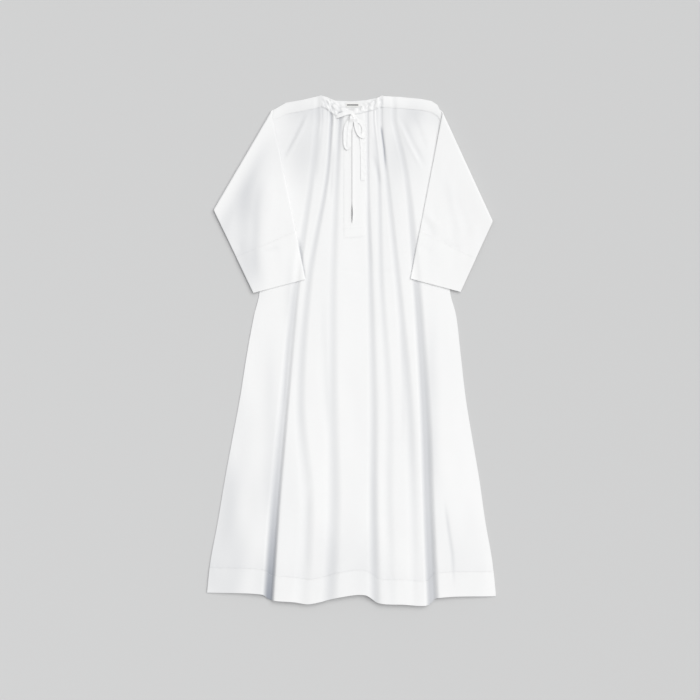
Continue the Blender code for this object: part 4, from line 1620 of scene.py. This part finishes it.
def on_the_robe(lay, points, wall):
    """Flat tube points once bent over and sunk on to what is under them, and their shade."""
    points, rest = folded(lay, points)
    x, y = points[:, 0], points[:, 1]
    over = ease(rest / DRAPE_REACH)
    lowest = 2 * SLEEVE_FOLD_Z - SLEEVE_LOW_Z - 2 * SLEEVE_EDGE_RADIUS - SLEEVE_BULGE
    points[:, 2] += over * (support_z(x, y) + wall / 2 + LAYER_GAP - lowest)
    depth, grey = crease_cuts(lay.creases, x, y)
    waves = sum(unevenness(x, y, size, seed) * height for size, seed, height in SLEEVE_WAVES)
    soft = over * ease((points[:, 2] - SLEEVE_FOLD_Z) / 0.001)
    pressed = np.maximum(depth * 0.9, -DEEPEST_CREASE)
    points[:, 2] += soft * (np.maximum(waves, -DEEPEST_WAVE) - pressed)
    shade = shade_for(grey + painted_area_shade(x, y)) + np.clip(depth, 0, 1) * CREASE_SHADE
    return points, over * shade


def lay_sleeve(mesh, lay, wall):
    points = np.zeros(len(mesh.vertices) * 3)
    mesh.vertices.foreach_get("co", points)
    points, shade = on_the_robe(lay, points.reshape(-1, 3), wall)
    mesh.vertices.foreach_set("co", points.ravel())
    mesh.attributes["hollow"].data.foreach_set("value", shade.astype(np.float32))
    mesh.update()


under_cuff = support_z(np.array([-0.18]), np.array([0.25]))[0]
print("front under the left cuff", round(float(under_cuff), 4))

# %% Sleeves and cuffs
SLEEVE_LENGTH = 0.45  # roughly, to space the rows along the tube


def sleeve_piece(name, lay, start, end, wall, material):
    """The part of a sleeve between two shares of its length, laid on the robe."""
    steps = round((end - start) * SLEEVE_LENGTH / SLEEVE_ALONG_STEP)
    stations = np.linspace(start, end, steps + 1)
    mesh = mesh_from_grids(name, [sleeve_grid(lay, stations)], around=True)
    cut_near_bend(mesh, lay)
    lay_sleeve(mesh, lay, wall)
    return cloth_piece(name, mesh, wall, material)


sleeves, cuffs = {}, {}
for lay in SLEEVES:
    seam = 1 - CUFF_SHARE
    sleeves[lay.side] = sleeve_piece(f"sleeve_{lay.side}", lay, 0.0, seam, CLOTH, cotton)
    cuffs[lay.side] = sleeve_piece(f"cuff_{lay.side}", lay, seam, 1.0, DOUBLE_CLOTH, double_cotton)
print("sleeves", [count_triangles(p) for p in (*sleeves.values(), *cuffs.values())])

# %% [markdown]
# ## The drawstring's bow
# The tape is soft and flat, about a finger's width. Each side of the bow is one free end: out
# of the knot, round a loop, back through the knot and down into a tail. A simulated bow would
# not fall twice in the same way, so each route is a line of points, given one by one. Heights are
# counted from the front's cloth, so that the tape rests on it whatever the folds do.

# %% Routes of the tape
TAPE_WIDTH = 0.0120
TAPE_WALL = 0.0008
KNOT = (0.0050, 0.6755, 0.0078)
STRAND = (
    (-0.0460, 0.6775, 0.0006),
    (-0.0385, 0.6790, 0.0040),
    (-0.0240, 0.6835, 0.0056),
    (-0.0080, 0.6885, 0.0062),
    (0.0010, 0.6875, 0.0066),
)
LOOP_LEFT = (
    (-0.0060, 0.6640, 0.0052),
    (-0.0135, 0.6500, 0.0044),
    (-0.0170, 0.6320, 0.0042),
    (-0.0172, 0.6120, 0.0042),
    (-0.0165, 0.5950, 0.0044),
    (-0.0120, 0.5860, 0.0052),
    (-0.0070, 0.5930, 0.0058),
    (-0.0060, 0.6110, 0.0052),
    (-0.0050, 0.6360, 0.0052),
    (-0.0010, 0.6590, 0.0066),
)
LOOP_RIGHT = (
    (0.0190, 0.6650, 0.0052),
    (0.0290, 0.6580, 0.0044),
    (0.0355, 0.6450, 0.0042),
    (0.0365, 0.6300, 0.0044),
    (0.0330, 0.6195, 0.0052),
    (0.0250, 0.6235, 0.0056),
    (0.0185, 0.6350, 0.0050),
    (0.0140, 0.6490, 0.0050),
    (0.0120, 0.6610, 0.0068),
)
TAIL_LEFT = (
    (-0.0010, 0.6640, 0.0030),
    (-0.0080, 0.6400, 0.0026),
    (-0.0100, 0.6150, 0.0026),
    (-0.0090, 0.5890, 0.0026),
)
TAIL_RIGHT = (
    (0.0160, 0.6630, 0.0030),
    (0.0240, 0.6380, 0.0026),
    (0.0300, 0.6100, 0.0026),
    (0.0325, 0.5700, 0.0026),
    (0.0334, 0.5300, 0.0026),
    (0.0334, 0.4920, 0.0026),
)
# Inside the knot each end turns back from one stretch to the next.
INTO_LOOP_LEFT = ((0.0045, 0.6820, 0.0076), (0.0010, 0.6740, 0.0066))
BACK_LEFT = (
    (0.0010, 0.6700, 0.0112),
    (0.0035, 0.6765, 0.0098),
    (0.0040, 0.6770, 0.0066),
    (0.0020, 0.6710, 0.0042),
)
INTO_LOOP_RIGHT = ((0.0070, 0.6740, 0.0086), (0.0120, 0.6690, 0.0066))
BACK_RIGHT = (
    (0.0095, 0.6680, 0.0100),
    (0.0070, 0.6750, 0.0096),
    (0.0070, 0.6765, 0.0064),
    (0.0105, 0.6710, 0.0042),
)
print("points in each route", len(STRAND + LOOP_LEFT + TAIL_LEFT), len(LOOP_RIGHT + TAIL_RIGHT))


# %% Lines over the front
def over_front(points):
    """The same points with their heights counted from the front's cloth."""
    points = np.array(points, float)
    lowest, lift = front_lift(points[:, 0], points[:, 1])
    kept = np.ones(len(points))
    for _, share, cut in fold_depths(points[:, 0], points[:, 1]):
        kept *= 1 - share * cut
    points[:, 2] += lowest + lift * kept
    return points


def smooth_route(points, step):
    """Points close together on a smooth line through the given ones."""
    points = np.array(points, float)
    run = np.concatenate([[0], np.cumsum(np.linalg.norm(np.diff(points, axis=0), axis=1))])
    at = np.linspace(0, run[-1], round(run[-1] / step) + 1)
    return np.column_stack([smooth_line(run, points[:, k], at) for k in range(3)])


def route_length(points):
    return float(np.linalg.norm(np.diff(points, axis=0), axis=1).sum())


print("knot's middle", [round(float(v), 4) for v in over_front([KNOT])[0]])

# %% [markdown]
# ## A ribbon along a route
# A curve with a flat bevel would twist at each turn of the route. So the ribbon is a grid of
# points: at each place on the route it spreads to both sides, level with the floor, and the
# direction across is smoothed, so that the tape turns over gently at the end of a loop.

# %% The two ends of the tape
TAPE_STEP = 0.0015
TAPE_ACROSS = 8
TAPE_CURL = 0.0002
TAPE_RIPPLE = 0.00025
TAPE_RIPPLE_LENGTH = 0.021
TURN_WINDOW = 15  # places on the route that one turn is smoothed over


def tape_grid(route, across):
    """A ribbon along a route; across is the way over its width at each point."""
    side = np.linspace(-0.5, 0.5, TAPE_ACROSS + 1)
    points = route[:, None, :] + across[:, None, :] * side[None, :, None] * TAPE_WIDTH
    run = np.concatenate([[0], np.cumsum(np.linalg.norm(np.diff(route, axis=0), axis=1))])
    curl = TAPE_CURL * (2 * side) ** 2
    along = np.sin(run * math.tau / TAPE_RIPPLE_LENGTH)[:, None]
    ripple = TAPE_RIPPLE * along * np.cos(math.pi * side)[None, :]
    points[..., 2] += curl[None, :] + ripple
    flat = np.stack(np.broadcast_arrays(side[None, :] * TAPE_WIDTH, run[:, None]), axis=-1)
    return Grid(points, flat, np.zeros(points.shape[:2]))


def level_across(route):
    """Directions over a tape that lies level, kept steady where the route turns over."""
    ahead = np.gradient(route, axis=0)
    across = np.column_stack([-ahead[:, 1], ahead[:, 0], np.zeros(len(route))])
    lengths = np.linalg.norm(across, axis=1, keepdims=True)
    across = across / np.maximum(lengths, 1e-9)
    for k in range(1, len(across)):
        if across[k] @ across[k - 1] < 0:
            across[k] *= -1
    window = np.hanning(TURN_WINDOW)
    padded = np.pad(across, ((TURN_WINDOW // 2, TURN_WINDOW // 2), (0, 0)), mode="edge")
    smoothed = np.column_stack(
        [np.convolve(padded[:, k], window / window.sum(), mode="valid") for k in range(3)]
    )
    return smoothed / np.linalg.norm(smoothed, axis=1, keepdims=True)


def tape_piece(name, stretches):
    """One end of the drawstring, and the line that it follows."""
    route = smooth_route(over_front(np.concatenate(stretches)), TAPE_STEP)
    mesh = mesh_from_grids(name, [tape_grid(route, level_across(route))])
    return cloth_piece(name, mesh, TAPE_WALL, tape_cotton, face_up=False), route


ties = {
    "left": tape_piece("tie_left", (STRAND, INTO_LOOP_LEFT, LOOP_LEFT, BACK_LEFT, TAIL_LEFT)),
    "right": tape_piece("tie_right", (INTO_LOOP_RIGHT, LOOP_RIGHT, BACK_RIGHT, TAIL_RIGHT)),
}
print("tape lengths", {side: round(route_length(route), 3) for side, (_, route) in ties.items()})

# %% [markdown]
# ## The knot
# In a bow of soft tape the knot is a small tight lump, where the turns are pressed together.
# Its turns can't be told apart at this size, so it is a ball, flattened and grooved by a few
# waves, and the ends of the tape go into it.

# %% The knot
KNOT_RADII = (0.0090, 0.0070, 0.0042)


def knot_piece():
    """A soft lump of tape: a flattened ball with the grooves of the turns round it."""
    bm = bmesh.new()
    bmesh.ops.create_uvsphere(bm, u_segments=48, v_segments=28, radius=1.0)
    for vertex in bm.verts:
        x, y, z = vertex.co
        groove = 0.10 * math.cos(7.0 * x + 3.0 * y) + 0.06 * math.cos(9.0 * y - 4.0 * z)
        vertex.co *= 1 + groove
        vertex.co = Vector([value * radius for value, radius in zip(vertex.co, KNOT_RADII)])
    middle = over_front([KNOT])[0]
    bmesh.ops.translate(bm, vec=middle, verts=bm.verts)
    mesh = bpy.data.meshes.new("tie_knot")
    bm.to_mesh(mesh)
    bm.free()
    corner = np.zeros(len(mesh.loops), int)
    mesh.loops.foreach_get("vertex_index", corner)
    places = np.array([v.co[:2] for v in mesh.vertices])
    uv = mesh.uv_layers.new(name="cloth")
    uv.data.foreach_set("uv", places[corner].astype(np.float32).ravel())
    mesh.attributes.new("hollow", "FLOAT", "POINT")
    mesh.materials.append(tape_cotton)
    mesh.shade_smooth()
    piece = bpy.data.objects.new("tie_knot_wrap", mesh)
    bpy.context.scene.collection.objects.link(piece)
    return piece


tie_knot = knot_piece()
print("knot", count_triangles(tie_knot), "triangles")

# %% [markdown]
# ## The label
# A small woven label is sewn inside the back of the neck. It carries a plain dark bar, which
# stands for a maker's mark without being one. The bar could be a piece of its own, but it is
# woven into the label, so it belongs in the material: two comparisons mark where it lies.

# %% Label
LABEL_WHITE = (0.80, 0.80, 0.78)
LABEL_DARK = (0.05, 0.05, 0.06)
LABEL_ROUGHNESS = 0.6
LABEL_EDGE = 0.0002
BAR_HALF_WIDTH = 0.0165
BAR_HALF_HEIGHT = 0.0016


def label_material():
    made = plain_material("label_satin", LABEL_WHITE, LABEL_ROUGHNESS)
    tree = made.node_tree
    shader = tree.nodes["Principled BSDF"]
    place = tree.nodes.new("ShaderNodeTexCoord")
    middle = tree.nodes.new("ShaderNodeMapping")
    middle.vector_type = "TEXTURE"
    middle.inputs["Location"].default_value = LABEL_MIDDLE
    tree.links.new(place.outputs["Object"], middle.inputs["Vector"])
    parts = tree.nodes.new("ShaderNodeSeparateXYZ")
    tree.links.new(middle.outputs["Vector"], parts.inputs["Vector"])
    within = []
    for axis, half in (("X", BAR_HALF_WIDTH), ("Y", BAR_HALF_HEIGHT)):
        off = math_node(tree, "ABSOLUTE", parts.outputs[axis], 0)
        within.append(math_node(tree, "LESS_THAN", off, half))
    bar = math_node(tree, "MULTIPLY", *within)
    mix = tree.nodes.new("ShaderNodeMix")
    mix.data_type = "RGBA"
    mix.inputs[6].default_value = (*LABEL_WHITE, 1.0)
    mix.inputs[7].default_value = (*LABEL_DARK, 1.0)
    tree.links.new(bar, mix.inputs["Factor"])
    tree.links.new(mix.outputs[2], shader.inputs["Base Color"])
    return made


def label_piece():
    bm = bmesh.new()
    bmesh.ops.create_cube(bm, size=1.0)
    bmesh.ops.scale(bm, vec=LABEL_SIZE, verts=bm.verts)
    bmesh.ops.translate(bm, vec=LABEL_MIDDLE, verts=bm.verts)
    bmesh.ops.bevel(bm, geom=bm.edges[:], offset=LABEL_EDGE, segments=2, affect="EDGES")
    mesh = bpy.data.meshes.new("label")
    bm.to_mesh(mesh)
    bm.free()
    mesh.materials.append(label_material())
    piece = bpy.data.objects.new("label", mesh)
    bpy.context.scene.collection.objects.link(piece)
    return piece


label = label_piece()
print("label", LABEL_SIZE[:2])

# %% [markdown]
# ## Stitching
# Every seam is held by a row of short stitches. One Geometry Nodes tree makes them all: it
# turns each line of points into a curve, walks along it in even steps and sets a small bead of
# thread at each step, turned the way that the seam runs. The lines are taken from the cloth
# itself, so the thread lies on its surface.

# %% The stitch tree
THREAD_RADIUS = 0.00022
STITCH_LENGTH = 0.0024
STITCH_PITCH = 0.0034
THREAD_WHITE = (0.80, 0.80, 0.80)
THREAD_ROUGHNESS = 0.6


def make_stitch_tree():
    tree = bpy.data.node_groups.new("stitch_row", "GeometryNodeTree")
    tree.interface.new_socket("Geometry", in_out="INPUT", socket_type="NodeSocketGeometry")
    for name, value in (
        ("Pitch", STITCH_PITCH),
        ("Stitch length", STITCH_LENGTH),
        ("Thread radius", THREAD_RADIUS),
    ):
        socket = tree.interface.new_socket(name, in_out="INPUT", socket_type="NodeSocketFloat")
        socket.default_value = value
    tree.interface.new_socket("Thread", in_out="INPUT", socket_type="NodeSocketMaterial")
    tree.interface.new_socket("Geometry", in_out="OUTPUT", socket_type="NodeSocketGeometry")
    start = tree.nodes.new("NodeGroupInput")
    end = tree.nodes.new("NodeGroupOutput")
    curve = tree.nodes.new("GeometryNodeMeshToCurve")
    steps = tree.nodes.new("GeometryNodeResampleCurve")
    steps.mode = "LENGTH"
    tangent = tree.nodes.new("GeometryNodeInputTangent")
    turn = tree.nodes.new("FunctionNodeAlignRotationToVector")
    turn.axis = "X"
    bead = tree.nodes.new("GeometryNodeMeshUVSphere")
    bead.inputs["Segments"].default_value = 6
    bead.inputs["Rings"].default_value = 5
    bead.inputs["Radius"].default_value = 1.0
    half = tree.nodes.new("ShaderNodeMath")
    half.operation = "MULTIPLY"
    half.inputs[1].default_value = 0.5
    size = tree.nodes.new("ShaderNodeCombineXYZ")
    shape = tree.nodes.new("GeometryNodeTransform")
    place = tree.nodes.new("GeometryNodeInstanceOnPoints")
    real = tree.nodes.new("GeometryNodeRealizeInstances")
    paint = tree.nodes.new("GeometryNodeSetMaterial")
    for source, target in (
        (start.outputs["Geometry"], curve.inputs["Mesh"]),
        (curve.outputs["Curve"], steps.inputs["Curve"]),
        (start.outputs["Pitch"], steps.inputs["Length"]),
        (start.outputs["Stitch length"], half.inputs[0]),
        (half.outputs[0], size.inputs["X"]),
        (start.outputs["Thread radius"], size.inputs["Y"]),
        (start.outputs["Thread radius"], size.inputs["Z"]),
        (bead.outputs["Mesh"], shape.inputs["Geometry"]),
        (size.outputs["Vector"], shape.inputs["Scale"]),
        (tangent.outputs["Tangent"], turn.inputs["Vector"]),
        (steps.outputs["Curve"], place.inputs["Points"]),
        (shape.outputs["Geometry"], place.inputs["Instance"]),
        (turn.outputs["Rotation"], place.inputs["Rotation"]),
        (place.outputs["Instances"], real.inputs["Geometry"]),
        (real.outputs["Geometry"], paint.inputs["Geometry"]),
        (start.outputs["Thread"], paint.inputs["Material"]),
        (paint.outputs["Geometry"], end.inputs["Geometry"]),
    ):
        tree.links.new(source, target)
    return tree


stitch_tree = make_stitch_tree()
thread = plain_material("white_thread", THREAD_WHITE, THREAD_ROUGHNESS)
print("stitches of", STITCH_LENGTH, "m every", STITCH_PITCH, "m")

# %% [markdown]
# ## Where the rows of stitches run
# The hem, the straps, the casing, the placket and the cuffs are topstitched. Each row could be
# drawn by hand, but then it would float or sink as soon as a fold is changed. So the rows are
# read off the same grids that made the cloth, a little inside the edges of each piece.


# %% Lines on the cloth
def over_grid(grid, row=None, column=None):
    """A line across a grid at a row, or down it at a column; both may lie between lines."""
    axis, at = (0, row) if column is None else (1, column)
    low = int(min(at, grid.points.shape[axis] - 2))
    near = np.take(grid.points, low, axis=axis)
    far = np.take(grid.points, low + 1, axis=axis)
    return near + (far - near) * (at - low)


def raised(line, wall):
    """The line moved up from the middle of the cloth, so that the thread half sinks in it."""
    return line + np.array([0.0, 0.0, wall / 2 + THREAD_RADIUS * 0.5])


def at_x(grid, x):
    """A line down a grid at that x, which lies between two of its columns on each row."""
    places = grid.points
    return np.array([[x, *(np.interp(x, row[:, 0], row[:, k]) for k in (1, 2))] for row in places])


print("thread", THREAD_RADIUS * 2, "m thick")

# %% Seams
SEAM_INSET = 0.0022
BESIDE_SLIT = 0.0030
BELOW_SLIT_ROWS = 3.0
ABOVE_PLACKET_END_ROWS = 0.6
STRAP_STITCH_ROWS = (0.7, BAND_ROWS - 2.3, BAND_ROWS - 0.7)
CASING_STITCH_ROWS = (CASING_ROWS * 0.28, CASING_ROWS * 0.93)
CUFF_STITCH_SHARE = 0.006


def front_seams():
    """The rows of stitches on the front's hem, straps, placket and casing."""
    lines = []
    for grid in front_grids(WHOLE, hem_shares, form=hem_form):
        lines.append(raised(over_grid(grid, row=HEM_ROWS * SEAM_INSET / HEM_DEPTH), DOUBLE_CLOTH))
    for columns in strap_columns.values():
        for grid in front_grids(columns, band_shares, lift=ON_FRONT, form=strap_form):
            for row in STRAP_STITCH_ROWS:
                lines.append(raised(over_grid(grid, row=row), BAND_WALL))
    for grid in casing_grids.values():
        for row in CASING_STITCH_ROWS:
            lines.append(raised(over_grid(grid, row=row), CASING_WALL))
    halves = front_grids(PLACKET_COLUMNS, placket_shares, lift=ON_FRONT, form=placket_form)
    outer = (PLACKET_LEFT_X + SEAM_INSET, PLACKET_RIGHT_X - SEAM_INSET)
    inner = (SLIT_X - BESIDE_SLIT, SLIT_X + BESIDE_SLIT)
    for grid, edge, beside in zip(halves, outer, inner):
        last = grid.points.shape[0] - 1
        lines.append(raised(at_x(grid, edge), BAND_WALL))
        lines.append(raised(at_x(grid, beside)[: slit_row + 2], BAND_WALL))
        lines.append(raised(over_grid(grid, row=last - ABOVE_PLACKET_END_ROWS), BAND_WALL))
        lines.append(raised(over_grid(grid, row=slit_row + BELOW_SLIT_ROWS), BAND_WALL))
    return lines


def sleeve_seams(lay):
    """The row that holds the cuff down, across the side of the tube that ends up on top."""
    share = 1 - CUFF_SHARE + CUFF_STITCH_SHARE
    ring = sleeve_grid(lay, np.array([share, share])).points[0]
    first = SLEEVE_ACROSS + SLEEVE_EDGE_STEPS
    points, _ = on_the_robe(lay, ring[first : first + SLEEVE_ACROSS].copy(), DOUBLE_CLOTH)
    return [raised(points, DOUBLE_CLOTH)]


front_lines = front_seams()
print("rows of stitches on the front", len(front_lines))


# %% Stitches
def line_mesh(name, lines):
    """One mesh of loose edges along all the lines."""
    points, edges = [], []
    for line in lines:
        start = len(points)
        points += [tuple(point) for point in line]
        edges += [(start + k, start + k + 1) for k in range(len(line) - 1)]
    mesh = bpy.data.meshes.new(name)
    mesh.from_pydata(points, edges, [])
    return mesh


def stitch_piece(name, lines):
    """Real stitches along the lines: the tree's result kept as a plain mesh."""
    source = bpy.data.objects.new(name + "_lines", line_mesh(name + "_lines", lines))
    bpy.context.scene.collection.objects.link(source)
    modifier = source.modifiers.new("stitches", "NODES")
    modifier.node_group = stitch_tree
    for socket in stitch_tree.interface.items_tree:
        if socket.in_out == "INPUT" and socket.name == "Thread":
            modifier[socket.identifier] = thread
        elif socket.in_out == "INPUT" and socket.name != "Geometry":
            modifier[socket.identifier] = socket.default_value
    graph = bpy.context.evaluated_depsgraph_get()
    mesh = bpy.data.meshes.new_from_object(source.evaluated_get(graph))
    source.modifiers.remove(modifier)
    bpy.data.objects.remove(source)
    mesh.name = name
    mesh.shade_smooth()
    piece = bpy.data.objects.new(name, mesh)
    bpy.context.scene.collection.objects.link(piece)
    return piece


body_stitches = stitch_piece("body_stitches", front_lines)
sleeve_stitches = {
    lay.side: stitch_piece(f"sleeve_{lay.side}_stitches", sleeve_seams(lay)) for lay in SLEEVES
}
print("stitches", count_triangles(body_stitches), "triangles on the body")

# %% [markdown]
# ## Everything rides on the frame
# Each new piece is named for the solid that it stands for and rides on the frame's one body.
# A plain solid goes out of sight when its cloth stands for it.


# %% Ride and replace
def settle(piece, slot, *nodes):
    """Put a piece on the frame's body, in place of the plain solids named; the slot is not used."""
    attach(piece, "root")
    if nodes:
        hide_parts(*nodes)


settle(front_body, "cotton", "front_body")
settle(hem_front, "double_cotton", "hem_front")
settle(back_body, "cotton", "back_body")
settle(hem_back, "double_cotton", "hem_back")
settle(casing_back, "double_cotton", "casing_back")
settle(placket, "double_cotton", "placket")
for side in ("left", "right"):
    settle(straps[side], "double_cotton", f"strap_{side}")
    settle(casings[side], "double_cotton", f"casing_{side}")
    settle(sleeves[side], "cotton", f"sleeve_{side}")
    settle(cuffs[side], "double_cotton", f"cuff_{side}")
    strand = ["tie_strand"] if side == "left" else []
    settle(ties[side][0], "tape", f"tie_loop_{side}", f"tie_tail_{side}", *strand)
settle(tie_knot, "tape", "tie_knot")
settle(label, "label", "neck_label")
settle(body_stitches, "cotton")
for piece in sleeve_stitches.values():
    settle(piece, "cotton")
print("pieces of stitching", 1 + len(sleeve_stitches))

# %% [markdown]
# ## How large each piece was cut
# Someone who drapes or ties this robe again needs to know how long each tape is and how large
# each piece was cut. The lengths are measured on the routes, and the cuts on the cloth itself,
# so they stay true when a size above is changed.


def cut_size(piece, tube):
    """Width and length that the piece was cut to; on a tube, the width is all the way round."""
    if tube:
        corners = np.zeros(len(piece.data.loops) * 2)
        piece.data.uv_layers["cloth"].data.foreach_get("uv", corners)
        places = corners.reshape(-1, 2)
    else:
        places = np.array([vertex.co[:2] for vertex in piece.data.vertices])
    return places.max(0) - places.min(0)


def declare_sheet(piece, tube=False):
    """Measure the width and the length that a piece was cut to."""
    width, length = cut_size(piece, tube)


declare_sheet(front_body)
declare_sheet(hem_front)
declare_sheet(back_body)
declare_sheet(hem_back)
declare_sheet(casing_back)
declare_sheet(placket)
for side in ("left", "right"):
    declare_sheet(straps[side])
    declare_sheet(casings[side])
    declare_sheet(sleeves[side], tube=True)
    declare_sheet(cuffs[side], tube=True)
